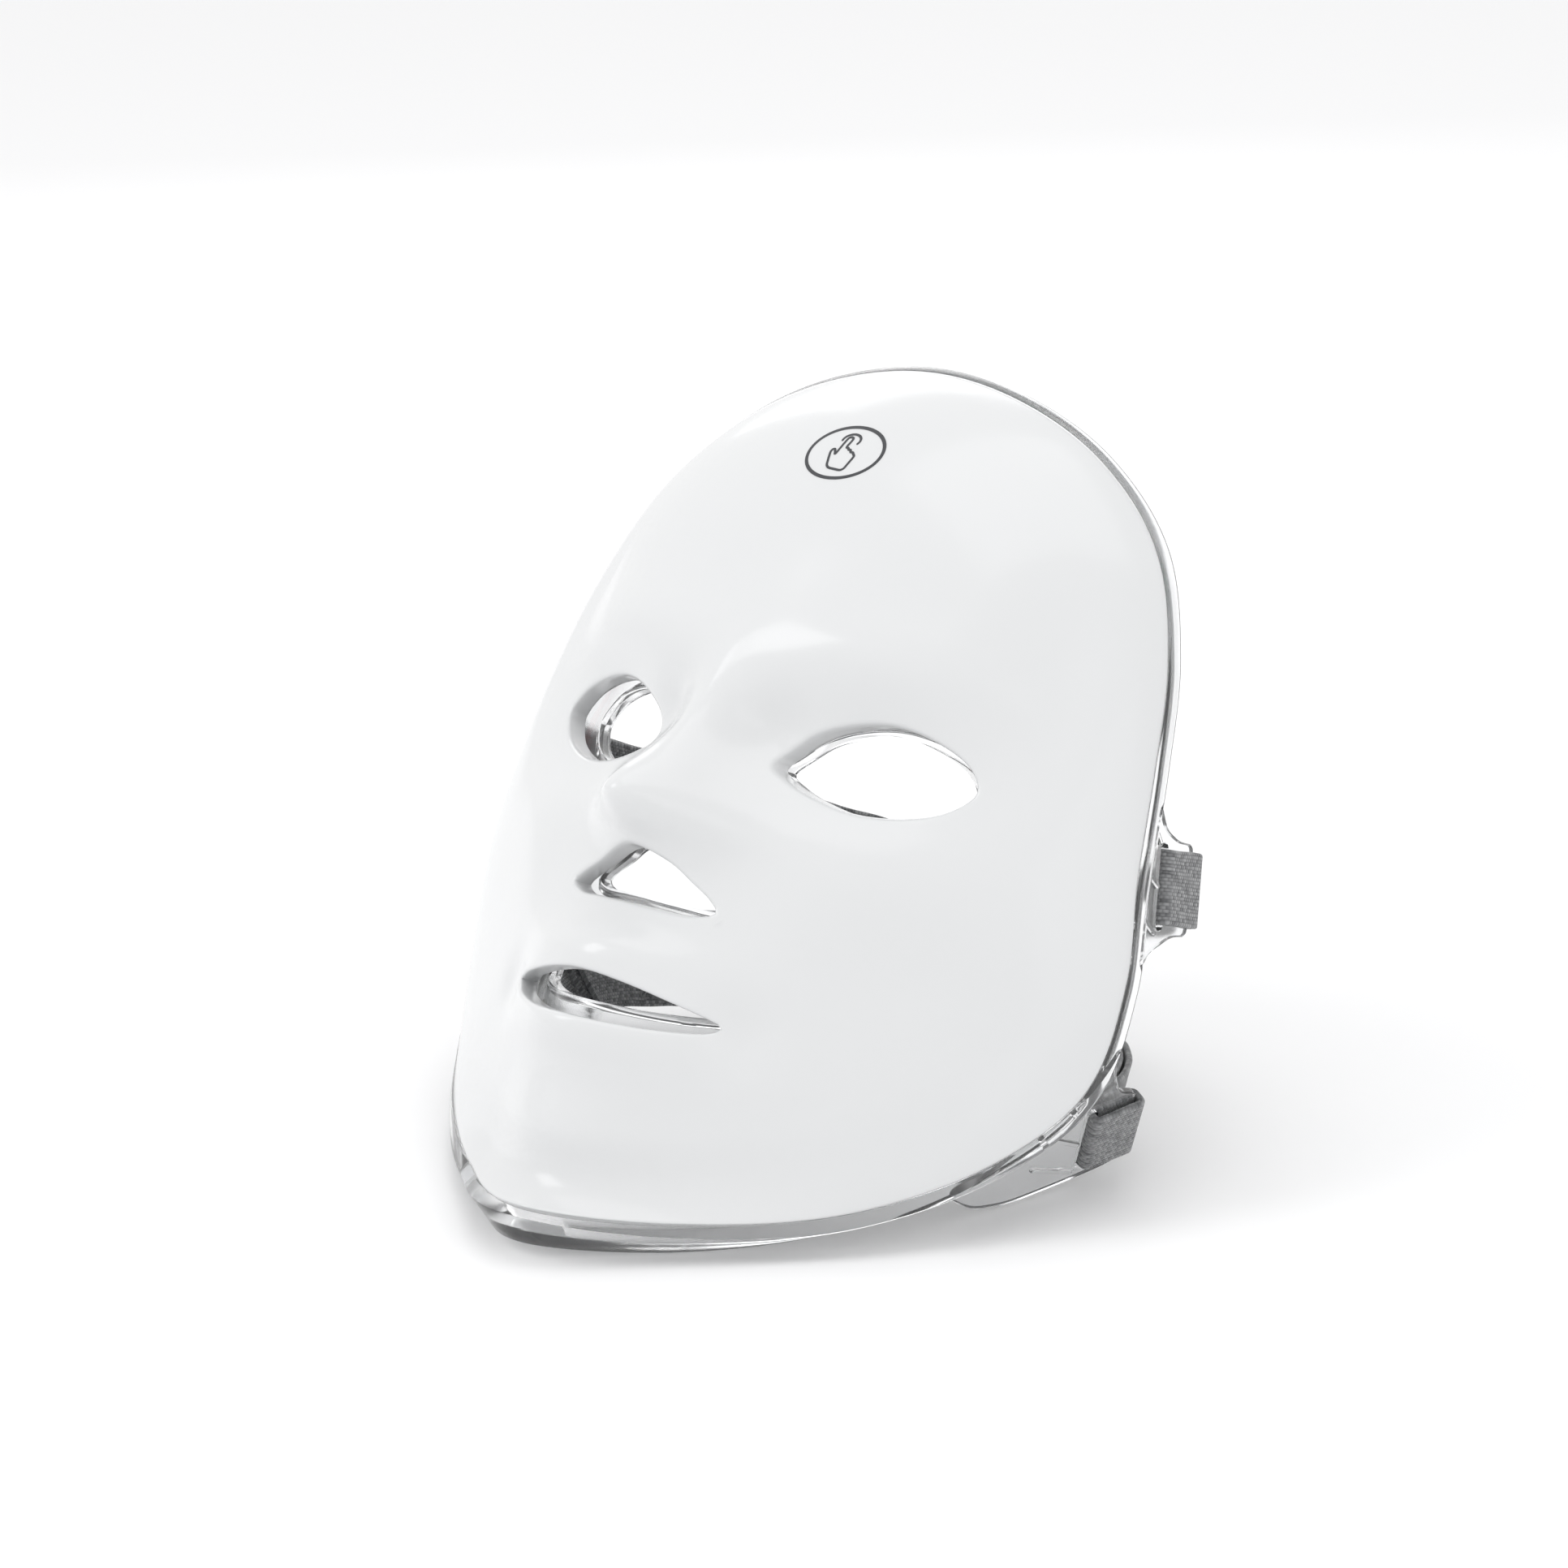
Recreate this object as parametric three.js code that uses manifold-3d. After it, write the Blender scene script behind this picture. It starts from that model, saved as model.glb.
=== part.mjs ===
import * as THREE from 'three';
import { mergeVertices } from 'three/addons/utils/BufferGeometryUtils.js';
import Module from 'manifold-3d';

const wasm = await Module();
wasm.setup();

// Sizes are in millimetres. The face is drawn upright: x to the wearer's left, y to the
// back of the head, z up from the chin. At the end it is leaned back onto its stand points.
const leanDegrees = 24.6;
const middleHeight = 103;
const crownDepth = -45;
const wallSteepness = 0.914;
const sideFullness = 1.75;
const browFullness = 1.9;
const chinFullness = 2.37;

// Edge of the face, from the chin (-90) past the ear side (0) to the top (90).
const rimAngles = [-90, -72, -54, -40, -28, -14, 0, 15, 30, 45, 60, 75, 90];
const rimRadii = [103, 103.2, 106, 106.4, 105, 98.8, 92.8, 92.6, 97, 103, 105.6, 106.4, 107];
const rimDepths = [-72.5, -54.5, -31.5, -13.5, -3, -2, -3, -1.5, 1.5, 3.5, 2.5, 1, 0.5];

// How far the ridge of the nose stands forward at each height.
const noseHeights = [64, 72, 80, 85, 90, 94, 99, 106, 113, 122, 132, 145];
const noseRises = [0, 0.5, 4, 9, 17, 21, 18.5, 11, 6, 3, 1.5, 0];

// Soft swellings (+) and hollows (-): rise, across, width, height, tallness.
const swellings = [
  { rise: 9, across: 0, width: 36, height: 92, tall: 44 },
  { rise: -8, across: 38, width: 24, height: 113, tall: 15 },
  { rise: -4, across: 15, width: 8, height: 116, tall: 10 },
  { rise: 2, across: 34, width: 26, height: 138, tall: 9 },
  { rise: 4, across: 44, width: 20, height: 84, tall: 20 },
  { rise: 19, across: 0, width: 40, height: 46, tall: 27 },
  { rise: 3, across: 0, width: 20, height: 60, tall: 5 },
  { rise: 3, across: 0, width: 19, height: 41, tall: 6 },
  { rise: -2, across: 34, width: 7, height: 48, tall: 8 },
  { rise: 5, across: 0, width: 20, height: 18, tall: 12 },
  { rise: -3, across: 70, width: 14, height: 140, tall: 28 },
];

// Outlines of the openings seen from the front.
const eyeOutline = [
  [18, 108.5], [22, 115.5], [30, 120.5], [40, 123], [50, 121.5], [58, 117.5],
  [61, 112.5], [57, 107], [49, 103.3], [39, 101.8], [29, 103.3], [22, 105.8],
];
const noseOutline = [
  [0, 83.5], [8, 81.5], [14, 78], [19, 75], [21, 72.8], [17, 71], [8, 70.8],
  [0, 70.8], [-8, 70.8], [-17, 71], [-21, 72.8], [-19, 75], [-14, 78], [-8, 81.5],
];
const mouthOutline = [
  [0, 53.8], [10, 53], [20, 51.2], [27, 49.6], [30, 48.3], [28, 46.5], [20, 44.6], [10, 43.6],
  [0, 43.4], [-10, 43.6], [-20, 44.6], [-28, 46.5], [-30, 48.3], [-27, 49.6], [-20, 51.2], [-10, 53],
];

const frontWall = 2;
const faceWall = 1.8;
const faceShrink = 0.93;
const faceSetback = 7;
const rimSpacing = 6.2;
const flangeDepth = 4;
const fitGap = 0.35;
const lipWall = 2;
const gridAcross = 20;
const gridUp = 28;

const strapWidth = 17;
const strapThickness = 1.5;
const earThickness = 2;
const barHalf = 5.6;
const slotWidth = 3;
const slotLength = 20;

const portAngle = -107;
const markCentre = [0, 184.4];
const markRadius = 10.3;
const markSquash = 0.69;
const handOutline = [
  [-1.71, 5.38], [-1.14, 6.0], [-0.1, 5.48], [-0.39, 1.83], [1.5, 0.87], [3.6, -0.86],
  [2.92, -7.04], [-2.06, -6.54], [-3.8, -0.12], [-3.3, 0.72], [-2.0, -1.45],
];

const earShapes = {
  upper: {
    centre: [92.6, 13.5, 103.1],
    slope: -0.13,
    pull: 5.4,
    outline: [
      [-11.3, 23.5], [-9.6, 19.1], [-6.3, 13], [-0.5, 10.6], [5.6, 10.4],
      [5.6, -10.4], [-1.2, -10.9], [-8.9, -14.8], [-13.2, -19], [-15.8, -23],
    ],
    ribs: [[-12.4, 13, -9.6, 9.6], [-13.4, 2.2, -9.6, 0], [-14.2, -8, -9.6, -10.6]],
    strapMiddle: [0, 84, 100],
    strapLean: 0,
    tabReach: 0.42,
    tabGap: 0.35,
    strapSetIn: 0.5,
  },
  lower: {
    centre: [83.9, 23.5, 47.2],
    slope: 0.59,
    pull: 35.6,
    outline: [
      [-46, 0], [-37, -8.6], [-26.6, -11.9], [-13.4, -12.2], [-0.5, -12], [5.6, -10.6],
      [5.6, 10.6], [-0.7, 13.5], [-3.5, 21], [-4.4, 30], [-6.5, 31.5], [-16.6, 18.2], [-26.2, 8], [-38, 2.6],
    ],
    ribs: [[-16.2, 15.4, -10.2, 11.4], [-23.4, 10, -10.2, 1], [-22, -2, -10.2, -8]],
    strapMiddle: [0, 80, 66],
    strapLean: 12,
    tabReach: 0.42,
    tabGap: 0.7,
    strapSetIn: 1.3,
  },
};

const colours = {
  glossWhite: ['#f3f4f5', 0.18, 0],
  clearPlastic: ['#dfe4e6', 0.08, 0],
  print: ['#3c3f42', 0.5, 0],
  fabric: ['#8f9193', 0.9, 0],
  board: ['#e9ebe6', 0.45, 0],
  controller: ['#1f6b46', 0.45, 0],
  foil: ['#b9bcc0', 0.35, 0.6],
  copper: ['#c58a4f', 0.35, 0.9],
  steel: ['#c9ccd0', 0.28, 1],
  wire: ['#b5322c', 0.5, 0],
  darkWire: ['#26282b', 0.5, 0],
};

const group = new THREE.Group();
group.name = 'led_face_mask';

function smoothTable(stops, values) {
  const slopes = stops.map((stop, i) => {
    if (i === 0 || i === stops.length - 1) {
      return 0;
    }
    return (values[i + 1] - values[i - 1]) / (stops[i + 1] - stops[i - 1]);
  });
  return (at) => {
    let i = 0;
    while (i < stops.length - 2 && at > stops[i + 1]) {
      i += 1;
    }
    const span = stops[i + 1] - stops[i];
    const t = Math.min(Math.max((at - stops[i]) / span, 0), 1);
    const rise = t * t * (3 - 2 * t);
    const leave = t * (1 - t) * (1 - t) * span * slopes[i];
    const arrive = t * t * (t - 1) * span * slopes[i + 1];
    return values[i] + (values[i + 1] - values[i]) * rise + leave + arrive;
  };
}

const rimRadius = smoothTable(rimAngles, rimRadii);
const rimDepth = smoothTable(rimAngles, rimDepths);
const noseRise = smoothTable(noseHeights, noseRises);

function easeBetween(low, high, value) {
  const t = Math.min(Math.max((value - low) / (high - low), 0), 1);
  return t * t * (3 - 2 * t);
}

function sideAngle(x, up) {
  return THREE.MathUtils.radToDeg(Math.atan2(up, Math.abs(x)));
}

function reachOf(x, z) {
  const up = z - middleHeight;
  return Math.hypot(x, up) / rimRadius(sideAngle(x, up));
}

// Depth of the outside of the face at a place seen from the front.
function faceDepth(x, z) {
  const up = z - middleHeight;
  const angle = sideAngle(x, up);
  const reach = Math.min(reachOf(x, z), 1);
  const slant = Math.sin(THREE.MathUtils.degToRad(angle));
  const brow = Math.max(slant, 0) ** 2 * (browFullness - sideFullness);
  const chin = Math.max(-slant, 0) ** 2 * (chinFullness - sideFullness);
  const fullness = sideFullness + brow + chin;
  const lastShare = Math.sqrt(1 - wallSteepness);
  const share = (Math.sqrt(1 - wallSteepness * reach ** fullness) - lastShare) / (1 - lastShare);
  const dome = rimDepth(angle) * (1 - share) + crownDepth * share;
  const across = Math.hypot(x, 1);
  const noseWidth = 17 - 9.5 * easeBetween(88, 120, z);
  let rise = noseRise(z) * Math.exp(-((across / noseWidth) ** 1.7));
  for (const s of swellings) {
    const sideways = (across - s.across) / s.width;
    const upwards = (z - s.height) / s.tall;
    rise += s.rise * Math.exp(-(sideways ** 2) - upwards ** 2);
  }
  return dome - rise * (1 - easeBetween(0.82, 1, reach));
}

function facePoint(x, z) {
  return new THREE.Vector3(x, faceDepth(x, z), z);
}

// Directions at a place on the face, measured just inside the rim: straight out of the
// surface, and along the surface towards the rim.
function faceDirections(x, z) {
  const pullIn = Math.min(1, 0.975 / Math.max(reachOf(x, z), 1e-6));
  const px = x * pullIn;
  const pz = middleHeight + (z - middleHeight) * pullIn;
  const normal = outwardNormal(facePoint, px, pz);
  const radial = new THREE.Vector3(px, 0, pz - middleHeight).normalize();
  const rimward = radial.addScaledVector(normal, -radial.dot(normal)).normalize();
  return { normal, rimward };
}

// The clear shell follows the same face, a little smaller and further back, and keeps an
// even distance from the front shell near the rim.
function innerPoint(x, z) {
  const up = (z - middleHeight) * faceShrink;
  const smaller = new THREE.Vector3(x * faceShrink, faceDepth(x, z) + faceSetback, middleHeight + up);
  const edge = easeBetween(0.72, 1, reachOf(x, z));
  if (edge === 0) {
    return smaller;
  }
  const { normal, rimward } = faceDirections(x, z);
  const level = facePoint(x, z).addScaledVector(normal, -rimSpacing);
  return smaller.lerp(level.addScaledVector(rimward, 1.6 * edge), edge);
}

// share 0 is the outside of the front shell, 1 the front of the clear shell.
function betweenPoint(x, z, share) {
  return facePoint(x, z).lerp(innerPoint(x, z), share);
}

function outwardNormal(pointAt, x, z) {
  const step = 0.4;
  const right = pointAt(x + step, z).sub(pointAt(x - step, z));
  const up = pointAt(x, z + step).sub(pointAt(x, z - step));
  return right.cross(up).normalize();
}

// A square of grid places spread over the round of the face, closer together near the nose.
function discPlace(across, v) {
  const u = Math.sign(across) * Math.abs(across) ** 1.25;
  const a = u * Math.sqrt(1 - (v * v) / 2);
  const b = v * Math.sqrt(1 - (u * u) / 2);
  const r = Math.hypot(a, b);
  const even = r > 1e-9 ? Math.sin(r * 1.42) / Math.sin(1.42) / r : 1.42 / Math.sin(1.42);
  const radius = rimRadius(sideAngle(a, b)) * 0.9999;
  return [a * even * radius, middleHeight + b * even * radius];
}

// Grid positions round the outside of a grid, in order.
function gridEdge(across, up) {
  const edge = [];
  for (let i = 0; i < across; i += 1) edge.push([i, 0]);
  for (let j = 0; j < up; j += 1) edge.push([across, j]);
  for (let i = across; i > 0; i -= 1) edge.push([i, up]);
  for (let j = up; j > 0; j -= 1) edge.push([0, j]);
  return edge;
}

function closedSlab(across, up, frontAt, backAt) {
  const points = [];
  const faces = [];
  for (const place of [frontAt, backAt]) {
    for (let j = 0; j <= up; j += 1) {
      for (let i = 0; i <= across; i += 1) {
        points.push(place(i / across, j / up));
      }
    }
  }
  const row = across + 1;
  const layer = row * (up + 1);
  const edge = gridEdge(across, up).map(([i, j]) => j * row + i);
  for (let j = 0; j < up; j += 1) {
    for (let i = 0; i < across; i += 1) {
      const [a, b, c, d] = [j * row + i, j * row + i + 1, (j + 1) * row + i + 1, (j + 1) * row + i];
      const halves = i < across / 2 ? [[a, b, c], [a, c, d]] : [[a, b, d], [b, c, d]];
      for (const [p, q, r] of halves) {
        faces.push(p, q, r, layer + p, layer + r, layer + q);
      }
    }
  }
  edge.forEach((a, k) => {
    const b = edge[(k + 1) % edge.length];
    faces.push(a, a + layer, b + layer, a, b + layer, b);
  });
  return meshOf(points, faces);
}

function meshOf(points, faces) {
  const geometry = new THREE.BufferGeometry();
  geometry.setAttribute('position', new THREE.Float32BufferAttribute(points.flatMap((p) => p.toArray()), 3));
  geometry.setIndex(faces);
  return geometry;
}

function toSolid(geometry) {
  const bare = new THREE.BufferGeometry();
  bare.setAttribute('position', geometry.getAttribute('position').clone());
  bare.setIndex(geometry.getIndex());
  const joined = mergeVertices(bare, 1e-4);
  const vertProperties = new Float32Array(joined.getAttribute('position').array);
  const triVerts = new Uint32Array(joined.getIndex().array);
  return new wasm.Manifold(new wasm.Mesh({ numProp: 3, vertProperties, triVerts }));
}

function fromSolid(solid) {
  const mesh = solid.getMesh();
  const geometry = new THREE.BufferGeometry();
  geometry.setAttribute('position', new THREE.BufferAttribute(new Float32Array(mesh.vertProperties), 3));
  geometry.setIndex(new THREE.BufferAttribute(new Uint32Array(mesh.triVerts), 1));
  return geometry;
}

function mirrored(geometry) {
  const flipped = geometry.clone().applyMatrix4(new THREE.Matrix4().makeScale(-1, 1, 1));
  const index = flipped.getIndex().array;
  for (let i = 0; i < index.length; i += 3) {
    [index[i], index[i + 1]] = [index[i + 1], index[i]];
  }
  return flipped;
}

function addPiece(name, geometry, look) {
  const [color, roughness, metalness] = colours[look];
  const piece = new THREE.Mesh(geometry, new THREE.MeshStandardMaterial({ color, roughness, metalness }));
  piece.name = name;
  if (look === 'clearPlastic') {
    piece.material.transparent = true;
    piece.material.opacity = 0.45;
  }
  group.add(piece);
}

function curvePoints(outline, grow, count) {
  const curve = new THREE.CatmullRomCurve3(outline.map(([x, z]) => new THREE.Vector3(x, z, 0)), true);
  const points = curve.getPoints(count).slice(0, -1);
  return points.map((point, i) => {
    const before = points[(i + points.length - 1) % points.length];
    const after = points[(i + 1) % points.length];
    const along = after.clone().sub(before).normalize();
    return new THREE.Vector2(point.x - along.y * grow, point.y + along.x * grow);
  });
}

// A straight prism through the face, its outline drawn clockwise as seen from the front.
function openingPrism(outline, grow, count) {
  const shape = new THREE.Shape(curvePoints(outline, grow, count));
  const geometry = new THREE.ExtrudeGeometry(shape, { depth: 150, bevelEnabled: false });
  geometry.rotateX(Math.PI / 2);
  geometry.translate(0, 30, 0);
  return toSolid(geometry);
}

function mirrorOutline(outline) {
  return outline.map(([x, z]) => [-x, z]).reverse();
}

const openings = [
  { outline: eyeOutline, count: 24 },
  { outline: mirrorOutline(eyeOutline), count: 24 },
  { outline: noseOutline, count: 22 },
  { outline: mouthOutline, count: 24 },
];

function shellSlab(pointAt, thickness) {
  const inward = (u, v) => {
    const [x, z] = discPlace(u * 2 - 1, v * 2 - 1);
    return pointAt(x, z).addScaledVector(faceDirections(x, z).normal, -thickness);
  };
  const outside = (u, v) => pointAt(...discPlace(u * 2 - 1, v * 2 - 1));
  return toSolid(closedSlab(gridAcross, gridUp, outside, inward));
}

function gapSlab() {
  const place = (share) => (u, v) => betweenPoint(...discPlace(u * 2 - 1, v * 2 - 1), share);
  return toSolid(closedSlab(gridAcross, gridUp, place(0.03), place(0.93)));
}

function withLips(shell, room) {
  let solid = shell;
  for (const opening of openings) {
    const lip = openingPrism(opening.outline, lipWall, opening.count).intersect(room);
    solid = solid.add(lip);
  }
  for (const opening of openings) {
    solid = solid.subtract(openingPrism(opening.outline, 0, opening.count));
  }
  return solid;
}

// A four-sided ring round the rim, its corners given as rimward and outward distances.
function rimSweep(corners) {
  const points = [];
  const faces = [];
  const edge = gridEdge(gridAcross, gridUp);
  const steps = edge.length;
  for (let i = 0; i < steps; i += 1) {
    const [across, up] = edge[i];
    const [x, z] = discPlace((across / gridAcross) * 2 - 1, (up / gridUp) * 2 - 1);
    const { normal, rimward } = faceDirections(x, z);
    for (const [past, out] of corners) {
      points.push(facePoint(x, z).addScaledVector(rimward, past).addScaledVector(normal, out));
    }
    for (let k = 0; k < 4; k += 1) {
      const a = i * 4 + k;
      const b = i * 4 + ((k + 1) % 4);
      const c = ((i + 1) % steps) * 4 + k;
      const d = ((i + 1) % steps) * 4 + ((k + 1) % 4);
      faces.push(a, b, d, a, d, c);
    }
  }
  return meshOf(points, faces);
}

function earFrame(ear) {
  const level = new THREE.Vector3(0, 1, 0);
  const upright = new THREE.Vector3(ear.slope, 0, 1).normalize();
  const turn = THREE.MathUtils.degToRad(ear.pull);
  const pull = level.clone().multiplyScalar(Math.cos(turn)).addScaledVector(upright, Math.sin(turn));
  const edge = level.clone().multiplyScalar(-Math.sin(turn)).addScaledVector(upright, Math.cos(turn));
  const out = new THREE.Vector3(1, 0, -ear.slope).normalize();
  const centre = new THREE.Vector3(...ear.centre);
  const at = (e, w, n) => centre.clone().addScaledVector(pull, e).addScaledVector(edge, w).addScaledVector(out, n);
  return { pull, edge, out, centre, at };
}

function earPlate(ear, outline, low, high) {
  const shape = new THREE.Shape(outline.map(([e, w]) => new THREE.Vector2(e, w)));
  const geometry = new THREE.ExtrudeGeometry(shape, { depth: high - low, bevelEnabled: false });
  geometry.translate(0, 0, low);
  const frame = earFrame(ear);
  const matrix = new THREE.Matrix4().makeBasis(frame.pull, frame.edge, frame.out).setPosition(frame.centre);
  return toSolid(geometry.applyMatrix4(matrix));
}

function roundedBar(e1, w1, e2, w2, half) {
  const outline = [];
  const heading = Math.atan2(w2 - w1, e2 - e1);
  for (let i = 0; i <= 2; i += 1) {
    const turn = heading + Math.PI / 2 + (i / 2) * Math.PI;
    outline.push([e1 + half * Math.cos(turn), w1 + half * Math.sin(turn)]);
  }
  for (let i = 0; i <= 2; i += 1) {
    const turn = heading - Math.PI / 2 + (i / 2) * Math.PI;
    outline.push([e2 + half * Math.cos(turn), w2 + half * Math.sin(turn)]);
  }
  return outline;
}

function earSolid(ear) {
  const half = earThickness / 2;
  let solid = earPlate(ear, ear.outline, -half, half);
  const slotMiddle = -barHalf - slotWidth / 2;
  const slot = roundedBar(
    slotMiddle, -slotLength / 2 + slotWidth / 2, slotMiddle, slotLength / 2 - slotWidth / 2, slotWidth / 2);
  for (const [e1, w1, e2, w2] of ear.ribs) {
    solid = solid.add(earPlate(ear, roundedBar(e1, w1, e2, w2, 0.7), half - 0.2, half + 0.8));
  }
  return solid.subtract(earPlate(ear, slot, -3, 3));
}

// A block set square to the rim: across it, rimward past the edge and outward.
function rimBlock(x, z, width, inner, outer, low, high) {
  const { normal, rimward } = faceDirections(x, z);
  const along = rimward.clone().cross(normal).normalize();
  const geometry = new THREE.BoxGeometry(width, outer - inner, high - low);
  geometry.translate(0, (inner + outer) / 2, (low + high) / 2);
  const matrix = new THREE.Matrix4().makeBasis(along, rimward, normal).setPosition(facePoint(x, z));
  return toSolid(geometry.applyMatrix4(matrix));
}

function portPlace() {
  const turn = THREE.MathUtils.degToRad(portAngle);
  const radius = rimRadius(sideAngle(Math.cos(turn), Math.sin(turn)));
  return [Math.cos(turn) * radius, middleHeight + Math.sin(turn) * radius];
}

function buildCharging() {
  const [x, z] = portPlace();
  let socket = rimBlock(x, z, 9, -4.6, 3.4, -5.6, -2.7);
  socket = socket.subtract(rimBlock(x, z, 8.2, -3.6, 4, -5.2, -3.1));
  socket = socket.add(rimBlock(x, z, 6.6, -4, 2.6, -4.4, -3.9));
  addPiece('charge_socket', fromSolid(socket), 'steel');
  addPiece('charge_board', fromSolid(laidSheet(-37, -25, 11, 15.2, 0.48, 0.58, 2, 1)), 'controller');
}

function buildShells() {
  const front = withLips(shellSlab(facePoint, frontWall), gapSlab());
  addPiece('front_shell', fromSolid(front), 'glossWhite');

  const lipRoom = (u, v) => innerPoint(...discPlace(u * 2 - 1, v * 2 - 1));
  const deeper = (u, v) => lipRoom(u, v).add(new THREE.Vector3(0, 4.5, 0));
  let face = shellSlab(innerPoint, faceWall);
  const flange = [[fitGap, -8.2], [fitGap, 0.3], [flangeDepth, 0.3], [flangeDepth, -8.2]];
  face = face.add(toSolid(rimSweep(flange)));
  face = withLips(face, toSolid(closedSlab(gridAcross, gridUp, lipRoom, deeper)));
  for (const ear of Object.values(earShapes)) {
    const solid = earSolid(ear);
    face = face.add(solid);
    face = face.add(toSolid(mirrored(fromSolid(solid))));
  }
  const [x, z] = portPlace();
  face = face.subtract(rimBlock(x, z, 10, -6, 6, -6, -2.3));
  addPiece('face_shell', fromSolid(face), 'clearPlastic');
}

// A strip of even thickness along a row of frames: middle, half width and facing.
function ribbon(frames, thickness, closed) {
  const points = [];
  const faces = [];
  for (const { at, half, facing } of frames) {
    for (const [side, level] of [[-1, -0.5], [1, -0.5], [1, 0.5], [-1, 0.5]]) {
      const corner = at.clone().addScaledVector(half, side);
      points.push(corner.addScaledVector(facing, level * thickness));
    }
  }
  const last = closed ? frames.length : frames.length - 1;
  for (let i = 0; i < last; i += 1) {
    for (let k = 0; k < 4; k += 1) {
      const a = i * 4 + k;
      const b = i * 4 + ((k + 1) % 4);
      const c = ((i + 1) % frames.length) * 4 + k;
      const d = ((i + 1) % frames.length) * 4 + ((k + 1) % 4);
      faces.push(a, d, b, a, c, d);
    }
  }
  if (!closed) {
    const end = (frames.length - 1) * 4;
    faces.push(0, 1, 2, 0, 2, 3);
    faces.push(end, end + 2, end + 1, end, end + 3, end + 2);
  }
  const geometry = meshOf(points, faces);
  const solid = toSolid(geometry);
  return solid.volume() < 0 ? turnedInsideOut(geometry) : geometry;
}

function turnedInsideOut(geometry) {
  const index = geometry.getIndex().array;
  for (let i = 0; i < index.length; i += 3) {
    [index[i], index[i + 1]] = [index[i + 1], index[i]];
  }
  return geometry;
}

function loopFrames(ear) {
  const frame = earFrame(ear);
  const clear = 0.3 + strapThickness / 2;
  const high = earThickness / 2 + clear;
  const half = frame.edge.clone().multiplyScalar(strapWidth / 2);
  const frames = [];
  for (const [e, n, from] of [[1, 1, 0], [-1, 1, 90], [-1, -1, 180], [1, -1, 270]]) {
    for (let i = 0; i <= 2; i += 1) {
      const turn = THREE.MathUtils.degToRad(from + i * 45);
      const facing = frame.pull.clone().multiplyScalar(Math.cos(turn)).addScaledVector(frame.out, Math.sin(turn));
      const at = frame.at(e * (barHalf - 0.1), 0, n * (high - clear)).addScaledVector(facing, clear);
      frames.push({ at, half, facing });
    }
  }
  return frames;
}

// Middle line of a strap from its left ear to the mid-plane, as frames.
function strapFrames(ear, steps, offset, from, to) {
  const frame = earFrame(ear);
  const depth = -(earThickness / 2 + 0.3 + strapThickness + ear.strapSetIn + strapThickness / 2);
  const start = frame.at(-1, 0, depth);
  const first = frame.at(16, 0, depth - 1);
  const middle = new THREE.Vector3(...ear.strapMiddle);
  const guide = new THREE.Vector3(48, middle.y, middle.z);
  const curve = new THREE.CubicBezierCurve3(start, first, guide, middle);
  const tilt = THREE.MathUtils.degToRad(ear.strapLean);
  const level = new THREE.Vector3(0, -Math.sin(tilt), Math.cos(tilt));
  const frames = [];
  for (let i = 0; i <= steps; i += 1) {
    const t = from + ((to - from) * i) / steps;
    const along = curve.getTangent(t);
    const width = frame.edge.clone().lerp(level, easeBetween(0, 1, t));
    width.addScaledVector(along, -width.dot(along)).normalize();
    const facing = along.clone().cross(width).normalize();
    const at = curve.getPoint(t).addScaledVector(facing, offset);
    frames.push({ at, half: width.multiplyScalar(strapWidth / 2), facing });
  }
  return frames;
}

function mirrorFrame({ at, half, facing }) {
  const flip = (v) => new THREE.Vector3(-v.x, v.y, v.z);
  return { at: flip(at), half: flip(half), facing: flip(facing) };
}

function buildStraps() {
  for (const [level, ear] of Object.entries(earShapes)) {
    const loop = ribbon(loopFrames(ear), strapThickness, true);
    addPiece(`${level}_left_strap_loop`, loop, 'fabric');
    addPiece(`${level}_right_strap_loop`, mirrored(loop), 'fabric');

    const half = strapFrames(ear, 16, 0, 0, 1);
    const other = half.slice(0, -1).reverse().map(mirrorFrame);
    addPiece(`${level}_strap_band`, ribbon([...half, ...other], strapThickness, false), 'fabric');

    const inside = strapFrames(ear, 1, 0, 0, 1)[0].facing.dot(earFrame(ear).out) > 0 ? 1 : -1;
    const offset = -inside * (strapThickness + ear.tabGap);
    const tab = ribbon(strapFrames(ear, 8, offset, 0.02, ear.tabReach), strapThickness, false);
    addPiece(`${level}_left_strap_end`, tab, 'fabric');
    addPiece(`${level}_right_strap_end`, mirrored(tab), 'fabric');
  }
}

// A thin sheet laid in the space between the shells, bent to the face.
function laidSheet(left, right, low, high, nearShare, farShare, across, up) {
  const place = (share) => (u, v) => betweenPoint(left + (right - left) * u, low + (high - low) * v, share);
  return toSolid(closedSlab(across, up, place(nearShare), place(farShare)));
}

function ledBoard(left, right, low, high, columns, rows) {
  const across = Math.max(4, Math.round((right - left) / 9));
  const up = Math.max(3, Math.round((high - low) / 9));
  let solid = laidSheet(left, right, low, high, 0.48, 0.58, across, up);
  for (let j = 0; j < rows; j += 1) {
    for (let i = 0; i < columns; i += 1) {
      const x = left + ((i + 0.5) * (right - left)) / columns;
      const z = low + ((j + 0.5) * (high - low)) / rows;
      const chip = laidSheet(x - 1.8, x + 1.8, z - 1.8, z + 1.8, 0.54, 0.78, 1, 1);
      solid = solid.add(chip);
    }
  }
  return fromSolid(solid);
}

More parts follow.
